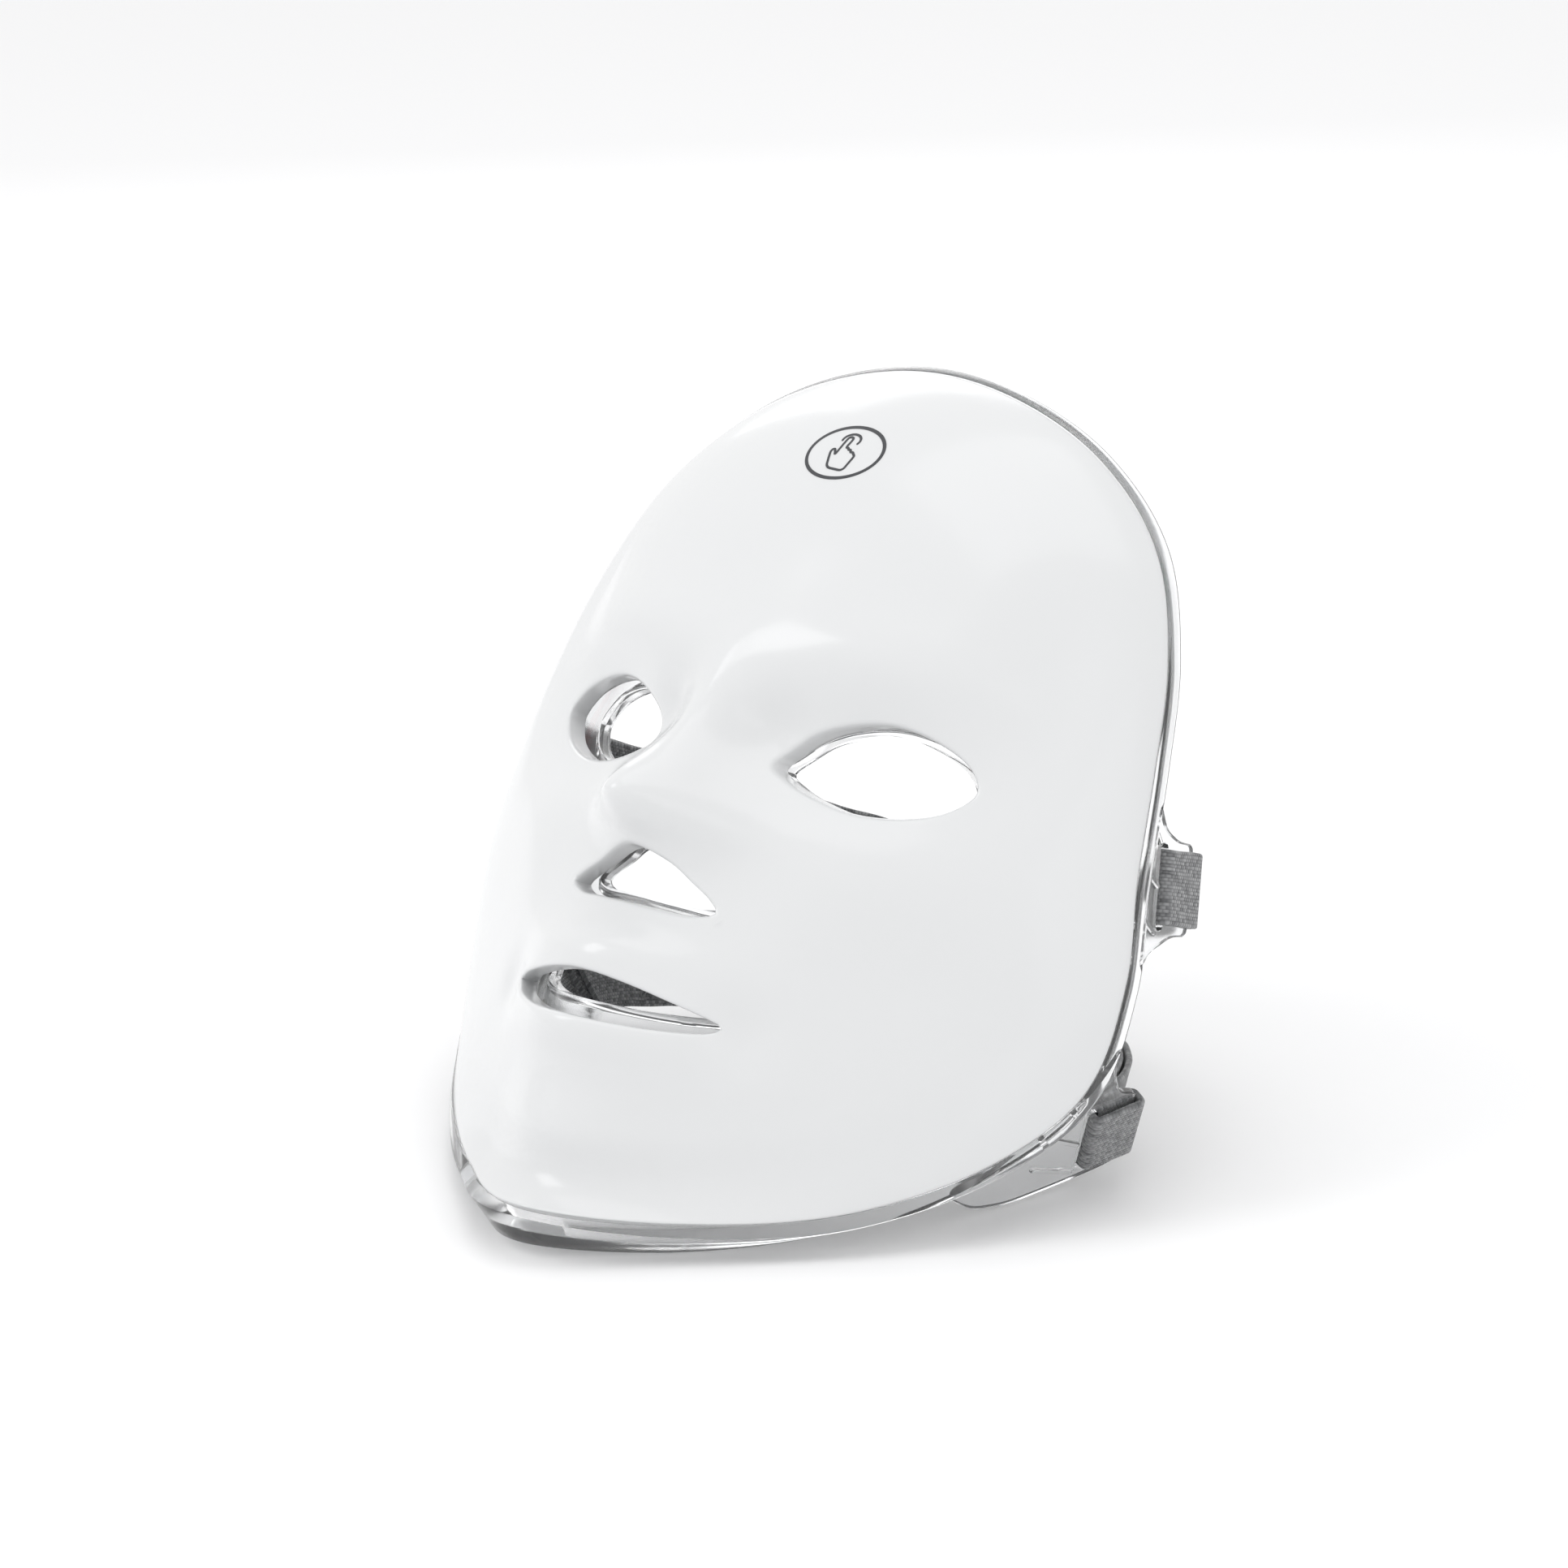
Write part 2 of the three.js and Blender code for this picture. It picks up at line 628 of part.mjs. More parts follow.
// The mark printed over the touch pad: a ring, a pointing hand and a small arc.
function printedStroke(path, width, closed) {
  const step = width / 2;
  const points = [];
  const faces = [];
  path.forEach(([x, z], i) => {
    const before = path[closed ? (i + path.length - 1) % path.length : Math.max(i - 1, 0)];
    const after = path[closed ? (i + 1) % path.length : Math.min(i + 1, path.length - 1)];
    const length = Math.hypot(after[0] - before[0], after[1] - before[1]);
    const sx = ((after[1] - before[1]) / length) * step;
    const sz = (-(after[0] - before[0]) / length) * step;
    for (const [side, lift] of [[1, 0.32], [-1, 0.32], [-1, 0.52], [1, 0.52]]) {
      const px = x + sx * side;
      const pz = z + sz * side;
      points.push(facePoint(px, pz).addScaledVector(faceDirections(px, pz).normal, lift));
    }
  });
  const last = closed ? path.length : path.length - 1;
  for (let i = 0; i < last; i += 1) {
    for (let k = 0; k < 4; k += 1) {
      const a = i * 4 + k;
      const b = i * 4 + ((k + 1) % 4);
      const c = ((i + 1) % path.length) * 4 + k;
      const d = ((i + 1) % path.length) * 4 + ((k + 1) % 4);
      faces.push(a, b, d, a, d, c);
    }
  }
  if (!closed) {
    const end = (path.length - 1) * 4;
    faces.push(0, 2, 1, 0, 3, 2, end, end + 1, end + 2, end, end + 2, end + 3);
  }
  const geometry = meshOf(points, faces);
  return toSolid(geometry).volume() < 0 ? turnedInsideOut(geometry) : geometry;
}

function arcPath(centre, radius, from, to, steps) {
  const path = [];
  for (let i = 0; i <= steps; i += 1) {
    const turn = THREE.MathUtils.degToRad(from + ((to - from) * i) / steps);
    path.push([centre[0] + radius * Math.cos(turn), centre[1] + radius * Math.sin(turn) * markSquash]);
  }
  return path;
}

function buildTouchMark() {
  const [mx, mz] = markCentre;
  const ring = arcPath(markCentre, markRadius, 0, 360, 40).slice(0, -1);
  addPiece('touch_ring', printedStroke(ring, 0.7, true), 'print');
  const hand = handOutline.map(([x, z]) => [mx + x, mz + z * markSquash]);
  addPiece('touch_hand', printedStroke(hand, 0.6, true), 'print');
  addPiece('touch_arc', printedStroke(arcPath([mx - 0.4, mz + 3.3], 2.5, -30, 195, 14), 0.6, false), 'print');
}

function buildBoards() {
  addPiece('forehead_led_board', ledBoard(-54, 54, 141, 168, 8, 2), 'board');
  const cheek = ledBoard(33, 72, 66, 92, 3, 3);
  addPiece('left_cheek_led_board', cheek, 'board');
  addPiece('right_cheek_led_board', mirrored(cheek), 'board');
  const jaw = ledBoard(38, 66, 34, 58, 2, 2);
  addPiece('left_jaw_led_board', jaw, 'board');
  addPiece('right_jaw_led_board', mirrored(jaw), 'board');
  addPiece('chin_led_board', ledBoard(-24, 24, 14, 32, 4, 2), 'board');

  let controller = laidSheet(-24, 24, 174, 196, 0.44, 0.56, 6, 3);
  const chips = [[-16, 180, 5, 0.8], [-3, 182, 3.4, 0.74], [9, 179, 2.4, 0.7], [17, 188, 3, 0.76]];
  for (const [x, z, half, share] of chips) {
    controller = controller.add(laidSheet(x - half, x + half, z - half, z + half, 0.53, share, 1, 1));
  }
  addPiece('control_board', fromSolid(controller), 'controller');
  addPiece('battery_cell', fromSolid(laidSheet(29, 57, 172, 189, 0.4, 0.7, 5, 3)), 'foil');
  addPiece('touch_pad', fromSolid(laidSheet(-7, 7, 179, 192.5, 0.33, 0.4, 3, 3)), 'copper');
}

// A flat loom of wires laid along a path in the space between the shells.
function buildLoom(name, path, width, look) {
  const curve = new THREE.CatmullRomCurve3(path.map(([x, z]) => new THREE.Vector3(x, z, 0)));
  const steps = 6;
  const place = (share) => (u, v) => {
    const middle = curve.getPoint(v);
    const along = curve.getTangent(v);
    const shift = (u - 0.5) * width;
    return betweenPoint(middle.x + along.y * shift, middle.y - along.x * shift, share);
  };
  const geometry = closedSlab(1, steps, place(0.5), place(0.62));
  addPiece(name, geometry, look);
  return geometry;
}

function buildLooms() {
  const side = [[58, 139], [72, 124], [74, 108], [66, 94.5]];
  addPiece('right_side_loom', mirrored(buildLoom('left_side_loom', side, 2.6, 'wire')), 'wire');
  const jaw = [[52, 64], [52, 62], [52, 60.5]];
  addPiece('right_jaw_loom', mirrored(buildLoom('left_jaw_loom', jaw, 2.6, 'wire')), 'wire');
  buildLoom('chin_loom', [[26, 24], [34, 26], [44, 31]], 2.6, 'darkWire');
  buildLoom('charge_loom', [[-37, 16.6], [-46, 24], [-52, 32.6]], 2.6, 'darkWire');
  buildLoom('control_loom', [[0, 173], [0, 170.5], [0, 169]], 3.2, 'wire');
  buildLoom('battery_loom', [[25, 184], [27, 184], [29, 184]], 3, 'darkWire');
}

// Lean the face back until the chin and both lower ears rest on the ground.
function standUp() {
  const lean = new THREE.Matrix4().makeRotationX(-THREE.MathUtils.degToRad(leanDegrees));
  group.children.forEach((piece) => piece.geometry.applyMatrix4(lean));
  const box = new THREE.Box3().setFromObject(group);
  const middle = box.getCenter(new THREE.Vector3());
  const drop = new THREE.Matrix4().makeTranslation(-middle.x, -middle.y, -box.min.z);
  for (const piece of group.children) {
    piece.geometry.applyMatrix4(drop);
    piece.geometry = piece.geometry.toNonIndexed();
    piece.geometry.computeVertexNormals();
  }
}

buildShells();
buildTouchMark();
buildStraps();
buildBoards();
buildCharging();
buildLooms();
standUp();

export default group;
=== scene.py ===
import math
import bpy
import numpy as np
from mathutils import Matrix, Vector
from mathutils.geometry import delaunay_2d_cdt


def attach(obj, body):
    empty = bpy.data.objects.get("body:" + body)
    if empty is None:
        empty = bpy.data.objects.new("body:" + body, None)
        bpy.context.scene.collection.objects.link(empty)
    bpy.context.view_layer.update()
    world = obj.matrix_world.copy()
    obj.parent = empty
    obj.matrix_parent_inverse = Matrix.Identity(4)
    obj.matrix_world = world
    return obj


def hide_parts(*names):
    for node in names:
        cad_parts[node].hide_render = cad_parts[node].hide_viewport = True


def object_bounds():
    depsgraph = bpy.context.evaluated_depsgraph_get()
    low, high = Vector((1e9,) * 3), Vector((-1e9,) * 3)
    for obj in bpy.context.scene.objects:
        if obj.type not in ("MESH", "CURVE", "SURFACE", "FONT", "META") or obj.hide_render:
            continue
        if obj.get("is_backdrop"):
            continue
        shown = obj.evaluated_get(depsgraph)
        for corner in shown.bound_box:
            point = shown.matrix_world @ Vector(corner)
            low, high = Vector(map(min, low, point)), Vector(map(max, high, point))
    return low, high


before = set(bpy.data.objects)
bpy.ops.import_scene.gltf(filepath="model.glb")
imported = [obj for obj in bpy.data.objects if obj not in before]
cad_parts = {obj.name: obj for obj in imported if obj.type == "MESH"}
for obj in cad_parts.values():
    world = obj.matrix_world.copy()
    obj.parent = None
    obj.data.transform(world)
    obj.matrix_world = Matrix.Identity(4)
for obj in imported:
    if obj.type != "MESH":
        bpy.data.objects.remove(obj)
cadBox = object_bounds()

# The mask is drawn upright in millimetres: x to the wearer's left, y to the back of the
# head, z up from the chin. toRow leans it back onto its chin and lower ears, in metres.
leanAngle = math.radians(24.6)
rowShift = np.array([0.0, -26.2519, -18.2482])


def toRow(points):
    p = np.asarray(points, float)
    c, s = math.cos(leanAngle), math.sin(leanAngle)
    y = c * p[..., 1] + s * p[..., 2]
    z = -s * p[..., 1] + c * p[..., 2]
    return (np.stack([p[..., 0], y, z], axis=-1) + rowShift) / 1000


# Camera and light.
view = {
    "place": (0.6223, -0.7263, 0.3637),
    "right": (0.7660, 0.6421, -0.0292),
    "up": (-0.1577, 0.2317, 0.9599),
    "back": (0.6231, -0.7307, 0.2787),
    "lens": 98.6,
}
studio = {
    "floorColour": (0.93, 0.93, 0.935, 1),
    "floorSize": 8.0,
    "worldColour": (1.0, 1.0, 1.0, 1),
    "worldStrength": 0.98,
    "keyPower": 4.0,
    "fillPower": 1.5,
    "topPower": 3.2,
    "rimPower": 2.0,
}


def makeCamera():
    data = bpy.data.cameras.new("camera")
    data.lens = view["lens"]
    data.sensor_width = 36
    data.clip_start = 0.01
    data.clip_end = 50
    camera = bpy.data.objects.new("camera", data)
    bpy.context.scene.collection.objects.link(camera)
    turn = Matrix((view["right"], view["up"], view["back"])).transposed().to_4x4()
    camera.matrix_world = Matrix.Translation(view["place"]) @ turn
    bpy.context.scene.camera = camera


def softLight(name, place, aim, size, power):
    data = bpy.data.lights.new(name, "AREA")
    data.shape = "RECTANGLE"
    data.size, data.size_y = size
    data.energy = power
    lamp = bpy.data.objects.new(name, data)
    bpy.context.scene.collection.objects.link(lamp)
    lamp.location = place
    lamp.rotation_euler = (Vector(aim) - Vector(place)).to_track_quat("-Z", "Y").to_euler()


def makeStudio():
    world = bpy.data.worlds.new("studio")
    bpy.context.scene.world = world
    world.use_nodes = True
    sky = world.node_tree.nodes["Background"]
    sky.inputs["Color"].default_value = studio["worldColour"]
    sky.inputs["Strength"].default_value = studio["worldStrength"]
    bpy.context.scene.view_settings.view_transform = "Standard"
    softLight("key", (-0.75, -0.9, 1.15), (0, 0, 0.09), (0.7, 0.9), studio["keyPower"])
    softLight("fill", (1.4, -0.5, 0.6), (0, 0, 0.08), (1.0, 1.2), studio["fillPower"])
    softLight("top", (0.1, 0.2, 1.6), (0, 0, 0.1), (1.2, 1.2), studio["topPower"])
    softLight("rim", (-0.9, 1.0, 0.8), (0, 0, 0.1), (0.8, 0.8), studio["rimPower"])
    half = studio["floorSize"] / 2
    mesh = bpy.data.meshes.new("floor")
    mesh.from_pydata([(-half, -half, 0), (half, -half, 0), (half, half, 0), (-half, half, 0)], [], [(0, 1, 2, 3)])
    floor = bpy.data.objects.new("floor", mesh)
    floor.location.z = -0.0004
    bpy.context.scene.collection.objects.link(floor)
    paint = bpy.data.materials.new("floorPaint")
    paint.use_nodes = True
    shader = paint.node_tree.nodes["Principled BSDF"]
    shader.inputs["Base Color"].default_value = studio["floorColour"]
    shader.inputs["Roughness"].default_value = 0.9
    shader.inputs["Specular IOR Level"].default_value = 0.1
    mesh.materials.append(paint)
    floor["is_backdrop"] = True


makeCamera()
makeStudio()
print("camera and studio ready")


# Shader groups that several finishes share.
def newGroup(name, ins, outs):
    tree = bpy.data.node_groups.new(name, "ShaderNodeTree")
    for label, kind, value in ins:
        socket = tree.interface.new_socket(label, in_out="INPUT", socket_type=kind)
        if value is not None:
            socket.default_value = value
    for label, kind in outs:
        tree.interface.new_socket(label, in_out="OUTPUT", socket_type=kind)
    return tree, tree.nodes.new("NodeGroupInput"), tree.nodes.new("NodeGroupOutput")


def addNode(tree, kind, **settings):
    node = tree.nodes.new(kind)
    for key, value in settings.items():
        setattr(node, key, value)
    return node


def maths(tree, operation, a, b=None, c=None):
    node = addNode(tree, "ShaderNodeMath", operation=operation)
    for socket, value in zip(node.inputs, (a, b, c)):
        if value is None:
            continue
        if isinstance(value, (int, float)):
            socket.default_value = value
        else:
            tree.links.new(value, socket)
    return node.outputs[0]


# Moulding grain: a slow change of tone, fine roughness marks and a very shallow ripple.
def makeGrainGroup():
    tree, ins, outs = newGroup(
        "mouldGrain",
        [("Vector", "NodeSocketVector", None), ("Scale", "NodeSocketFloat", 40.0),
         ("Tone Change", "NodeSocketFloat", 0.02), ("Roughness", "NodeSocketFloat", 0.25),
         ("Roughness Change", "NodeSocketFloat", 0.08)],
        [("Tone", "NodeSocketFloat"), ("Roughness", "NodeSocketFloat"), ("Height", "NodeSocketFloat")])
    slow = addNode(tree, "ShaderNodeTexNoise")
    slow.inputs["Detail"].default_value = 3
    fine = addNode(tree, "ShaderNodeTexNoise")
    fine.inputs["Detail"].default_value = 4
    for node, times in ((slow, 1.0), (fine, 22.0)):
        tree.links.new(ins.outputs["Vector"], node.inputs["Vector"])
        tree.links.new(maths(tree, "MULTIPLY", ins.outputs["Scale"], times), node.inputs["Scale"])
    swing = maths(tree, "SUBTRACT", slow.outputs["Fac"], 0.5)
    tone = maths(tree, "MULTIPLY_ADD", swing, ins.outputs["Tone Change"], 1.0)
    rough = maths(tree, "MULTIPLY_ADD", maths(tree, "SUBTRACT", fine.outputs["Fac"], 0.5),
                  ins.outputs["Roughness Change"], ins.outputs["Roughness"])
    tree.links.new(tone, outs.inputs["Tone"])
    tree.links.new(rough, outs.inputs["Roughness"])
    tree.links.new(maths(tree, "MULTIPLY_ADD", fine.outputs["Fac"], 0.35, slow.outputs["Fac"]), outs.inputs["Height"])
    return tree


# Knitted elastic: cords along the length, picks across it, and flecked yarn. The UV map is
# in millimetres: u along the strap, v across it.
def makeWeaveGroup():
    tree, ins, outs = newGroup(
        "elasticWeave",
        [("UV", "NodeSocketVector", None), ("Cord Width", "NodeSocketFloat", 0.85),
         ("Pick Length", "NodeSocketFloat", 0.7)],
        [("Fleck", "NodeSocketFloat"), ("Height", "NodeSocketFloat")])
    split = addNode(tree, "ShaderNodeSeparateXYZ")
    tree.links.new(ins.outputs["UV"], split.inputs[0])
    u, v = split.outputs["X"], split.outputs["Y"]
    row = maths(tree, "DIVIDE", v, ins.outputs["Cord Width"])
    odd = maths(tree, "MODULO", maths(tree, "FLOOR", row), 2.0)
    across = maths(tree, "ABSOLUTE", maths(tree, "SINE", maths(tree, "MULTIPLY", row, math.pi)))
    shifted = maths(tree, "MULTIPLY_ADD", odd, 0.5, maths(tree, "DIVIDE", u, ins.outputs["Pick Length"]))
    along = maths(tree, "ABSOLUTE", maths(tree, "SINE", maths(tree, "MULTIPLY", shifted, math.pi)))
    height = maths(tree, "MULTIPLY", maths(tree, "POWER", across, 0.6), maths(tree, "MULTIPLY_ADD", along, 0.6, 0.4))
    cell = addNode(tree, "ShaderNodeCombineXYZ")
    tree.links.new(maths(tree, "FLOOR", shifted), cell.inputs["X"])
    tree.links.new(maths(tree, "FLOOR", row), cell.inputs["Y"])
    white = addNode(tree, "ShaderNodeTexWhiteNoise", noise_dimensions="2D")
    tree.links.new(cell.outputs[0], white.inputs["Vector"])
    yarn = addNode(tree, "ShaderNodeTexNoise")
    yarn.inputs["Scale"].default_value = 0.9
    yarn.inputs["Detail"].default_value = 3
    stretch = addNode(tree, "ShaderNodeVectorMath", operation="MULTIPLY")
    stretch.inputs[1].default_value = (0.35, 2.2, 1)
    tree.links.new(ins.outputs["UV"], stretch.inputs[0])
    tree.links.new(stretch.outputs[0], yarn.inputs["Vector"])
    yarnShare = maths(tree, "MULTIPLY", yarn.outputs["Fac"], 0.55)
    fleck = maths(tree, "MULTIPLY_ADD", white.outputs["Value"], 0.45, yarnShare)
    tree.links.new(fleck, outs.inputs["Fleck"])
    tree.links.new(height, outs.inputs["Height"])
    return tree


grainGroup = makeGrainGroup()
weaveGroup = makeWeaveGroup()


def startMaterial(name, **sockets):
    material = bpy.data.materials.new(name)
    material.use_nodes = True
    tree = material.node_tree
    shader = tree.nodes["Principled BSDF"]
    for label, value in sockets.items():
        shader.inputs[label.replace("_", " ")].default_value = value
    return material, tree, shader


def mouldedMaterial(name, colour, roughness, scale=40.0, toneChange=0.02, roughChange=0.08, ripple=0.03, **sockets):
    material, tree, shader = startMaterial(name, **sockets)
    where = addNode(tree, "ShaderNodeTexCoord")
    grain = addNode(tree, "ShaderNodeGroup", node_tree=grainGroup)
    tree.links.new(where.outputs["Object"], grain.inputs["Vector"])
    grain.inputs["Scale"].default_value = scale
    grain.inputs["Tone Change"].default_value = toneChange
    grain.inputs["Roughness"].default_value = roughness
    grain.inputs["Roughness Change"].default_value = roughChange
    mix = addNode(tree, "ShaderNodeMix", data_type="RGBA", blend_type="MULTIPLY")
    mix.inputs["Factor"].default_value = 1
    mix.inputs[6].default_value = (*colour, 1)
    tree.links.new(grain.outputs["Tone"], mix.inputs[7])
    tree.links.new(mix.outputs[2], shader.inputs["Base Color"])
    tree.links.new(grain.outputs["Roughness"], shader.inputs["Roughness"])
    bump = addNode(tree, "ShaderNodeBump")
    bump.inputs["Strength"].default_value = ripple
    bump.inputs["Distance"].default_value = 0.0004
    tree.links.new(grain.outputs["Height"], bump.inputs["Height"])
    tree.links.new(bump.outputs[0], shader.inputs["Normal"])
    return material


def elasticMaterial():
    material, tree, shader = startMaterial(
        "greyElastic", Roughness=0.86, Sheen_Weight=0.35, Sheen_Roughness=0.5, Specular_IOR_Level=0.25)
    where = addNode(tree, "ShaderNodeUVMap", uv_map="strapMap")
    weave = addNode(tree, "ShaderNodeGroup", node_tree=weaveGroup)
    weave.inputs["Cord Width"].default_value = 0.85
    weave.inputs["Pick Length"].default_value = 0.9
    tree.links.new(where.outputs[0], weave.inputs["UV"])
    ramp = addNode(tree, "ShaderNodeValToRGB")
    ramp.color_ramp.elements[0].position = 0.2
    ramp.color_ramp.elements[0].color = (0.11, 0.112, 0.117, 1)
    ramp.color_ramp.elements[1].position = 0.85
    ramp.color_ramp.elements[1].color = (0.36, 0.365, 0.37, 1)
    tree.links.new(weave.outputs["Fleck"], ramp.inputs["Fac"])
    # The colour is multiplied by the weave's height, so it is darker in the grooves between cords and picks: painted
    # shade.
    shade = addNode(tree, "ShaderNodeMix", data_type="RGBA", blend_type="MULTIPLY")
    shade.inputs["Factor"].default_value = 1
    tree.links.new(ramp.outputs["Color"], shade.inputs[6])
    tree.links.new(maths(tree, "MULTIPLY_ADD", weave.outputs["Height"], 0.45, 0.62), shade.inputs[7])
    tree.links.new(shade.outputs[2], shader.inputs["Base Color"])
    bump = addNode(tree, "ShaderNodeBump")
    bump.inputs["Strength"].default_value = 0.7
    bump.inputs["Distance"].default_value = 0.00035
    tree.links.new(weave.outputs["Height"], bump.inputs["Height"])
    tree.links.new(bump.outputs[0], shader.inputs["Normal"])
    return material


# A printed circuit: solder mask with tracks showing as slightly lighter, raised lines.
def circuitMaterial(name, mask, track, trackScale):
    material, tree, shader = startMaterial(name, Roughness=0.35, Specular_IOR_Level=0.5)
    where = addNode(tree, "ShaderNodeTexCoord")
    bricks = addNode(tree, "ShaderNodeTexBrick")
    tree.links.new(where.outputs["Object"], bricks.inputs["Vector"])
    bricks.inputs["Color1"].default_value = (*mask, 1)
    bricks.inputs["Color2"].default_value = (*[m * 0.94 for m in mask], 1)
    bricks.inputs["Mortar"].default_value = (*track, 1)
    bricks.inputs["Scale"].default_value = trackScale
    bricks.inputs["Mortar Size"].default_value = 0.03
    tree.links.new(bricks.outputs["Color"], shader.inputs["Base Color"])
    bump = addNode(tree, "ShaderNodeBump")
    bump.inputs["Strength"].default_value = 0.25
    bump.inputs["Distance"].default_value = 0.0001
    tree.links.new(bricks.outputs["Fac"], bump.inputs["Height"])
    tree.links.new(bump.outputs[0], shader.inputs["Normal"])
    return material


finishes = {
    "glossWhite": mouldedMaterial("glossWhite", (0.69, 0.697, 0.703), 0.22, 30, 0.015, 0.05, 0.02,
                                  Coat_Weight=0.3, Coat_Roughness=0.1, Subsurface_Weight=0.08,
                                  Subsurface_Radius=(0.003, 0.003, 0.003), Subsurface_Scale=1.0),
    "clearPlastic": mouldedMaterial("clearPlastic", (0.975, 0.98, 0.985), 0.1, 30, 0.01, 0.04, 0.02,
                                    Transmission_Weight=0.97, IOR=1.38),
    "blackPrint": mouldedMaterial("blackPrint", (0.035, 0.037, 0.042), 0.42, 300, 0.15, 0.1, 0.05),
    "elastic": elasticMaterial(),
    "thread": mouldedMaterial("thread", (0.2, 0.2, 0.205), 0.75, 900, 0.4, 0.2, 0.4, Sheen_Weight=0.3),
    "lightBoard": circuitMaterial("lightBoard", (0.82, 0.83, 0.81), (0.7, 0.71, 0.7), 180),
    "controlBoard": circuitMaterial("controlBoard", (0.02, 0.17, 0.09), (0.04, 0.3, 0.17), 260),
    "chipCase": mouldedMaterial("chipCase", (0.86, 0.86, 0.84), 0.4, 400, 0.05, 0.1, 0.1),
    "chipLens": mouldedMaterial("chipLens", (0.9, 0.72, 0.16), 0.2, 500, 0.1, 0.08, 0.05, Coat_Weight=0.6),
    "foil": mouldedMaterial("foil", (0.62, 0.63, 0.65), 0.34, 120, 0.08, 0.15, 0.5, Metallic=0.85),
    "copper": mouldedMaterial("copper", (0.72, 0.42, 0.24), 0.32, 200, 0.1, 0.12, 0.1, Metallic=1.0),
    "steel": mouldedMaterial("steel", (0.66, 0.67, 0.69), 0.26, 300, 0.06, 0.12, 0.1, Metallic=1.0),
    "redWire": mouldedMaterial("redWire", (0.5, 0.04, 0.035), 0.42, 300, 0.08, 0.1, 0.1),
    "blackWire": mouldedMaterial("blackWire", (0.025, 0.026, 0.03), 0.42, 300, 0.1, 0.1, 0.1),
}
print("materials ready")


# The face surface, in millimetres.
face = {
    "middleHeight": 103.0,
    "crownDepth": -45.0,
    "wallSteepness": 0.914,
    "fullness": (1.75, 1.9, 2.37),   # side, brow, chin
    "rimAngles": [-90, -72, -54, -40, -28, -14, 0, 15, 30, 45, 60, 75, 90],
    "rimRadii": [103, 103.2, 106, 106.4, 105, 98.8, 92.8, 92.6, 97, 103, 105.6, 106.4, 107],
    "rimDepths": [-72.5, -54.5, -31.5, -13.5, -3, -2, -3, -1.5, 1.5, 3.5, 2.5, 1, 0.5],
    "noseHeights": [64, 72, 80, 85, 90, 94, 99, 106, 113, 122, 132, 145],
    "noseRises": [0, 0.5, 4, 9, 17, 21, 18.5, 11, 6, 3, 1.5, 0],
    "swellings": [   # rise, across, width, height, tallness
        (9, 0, 36, 92, 44), (-8, 38, 24, 113, 15), (-4, 15, 8, 116, 10), (2, 34, 26, 138, 9),
        (4, 44, 20, 84, 20), (19, 0, 40, 46, 27), (3, 0, 20, 60, 5), (3, 0, 19, 41, 6),
        (-2, 34, 7, 48, 8), (5, 0, 20, 18, 12), (-3, 70, 14, 140, 28),
    ],
    "shrink": 0.93,      # the clear shell against the front shell
    "setback": 7.0,
    "rimSpacing": 6.2,
}
eyeOutline = [
    (18, 108.5), (22, 115.5), (30, 120.5), (40, 123), (50, 121.5), (58, 117.5),
    (61, 112.5), (57, 107), (49, 103.3), (39, 101.8), (29, 103.3), (22, 105.8),
]
noseOutline = [
    (0, 83.5), (8, 81.5), (14, 78), (19, 75), (21, 72.8), (17, 71), (8, 70.8),
    (0, 70.8), (-8, 70.8), (-17, 71), (-21, 72.8), (-19, 75), (-14, 78), (-8, 81.5),
]
mouthOutline = [
    (0, 53.8), (10, 53), (20, 51.2), (27, 49.6), (30, 48.3), (28, 46.5), (20, 44.6), (10, 43.6),
    (0, 43.4), (-10, 43.6), (-20, 44.6), (-28, 46.5), (-30, 48.3), (-27, 49.6), (-20, 51.2), (-10, 53),
]


def smoothTable(stops, values):
    stops, values = np.array(stops, float), np.array(values, float)
    slopes = np.zeros_like(values)
    slopes[1:-1] = (values[2:] - values[:-2]) / (stops[2:] - stops[:-2])

    def look(at):
        at = np.asarray(at, float)
        i = np.clip(np.searchsorted(stops, at) - 1, 0, len(stops) - 2)
        span = stops[i + 1] - stops[i]
        t = np.clip((at - stops[i]) / span, 0, 1)
        leave = t * (1 - t) ** 2 * span * slopes[i]
        arrive = t * t * (t - 1) * span * slopes[i + 1]
        return values[i] + (values[i + 1] - values[i]) * t * t * (3 - 2 * t) + leave + arrive
    return look


rimRadius = smoothTable(face["rimAngles"], face["rimRadii"])
rimDepth = smoothTable(face["rimAngles"], face["rimDepths"])
noseRise = smoothTable(face["noseHeights"], face["noseRises"])


def ease(low, high, value):
    t = np.clip((value - low) / (high - low), 0, 1)
    return t * t * (3 - 2 * t)


def unit(v):
    return v / np.maximum(np.linalg.norm(v, axis=-1, keepdims=True), 1e-12)


def sideAngle(x, up):
    return np.degrees(np.arctan2(up, np.abs(x)))


def reachOf(x, z):
    up = z - face["middleHeight"]
    return np.hypot(x, up) / rimRadius(sideAngle(x, up))


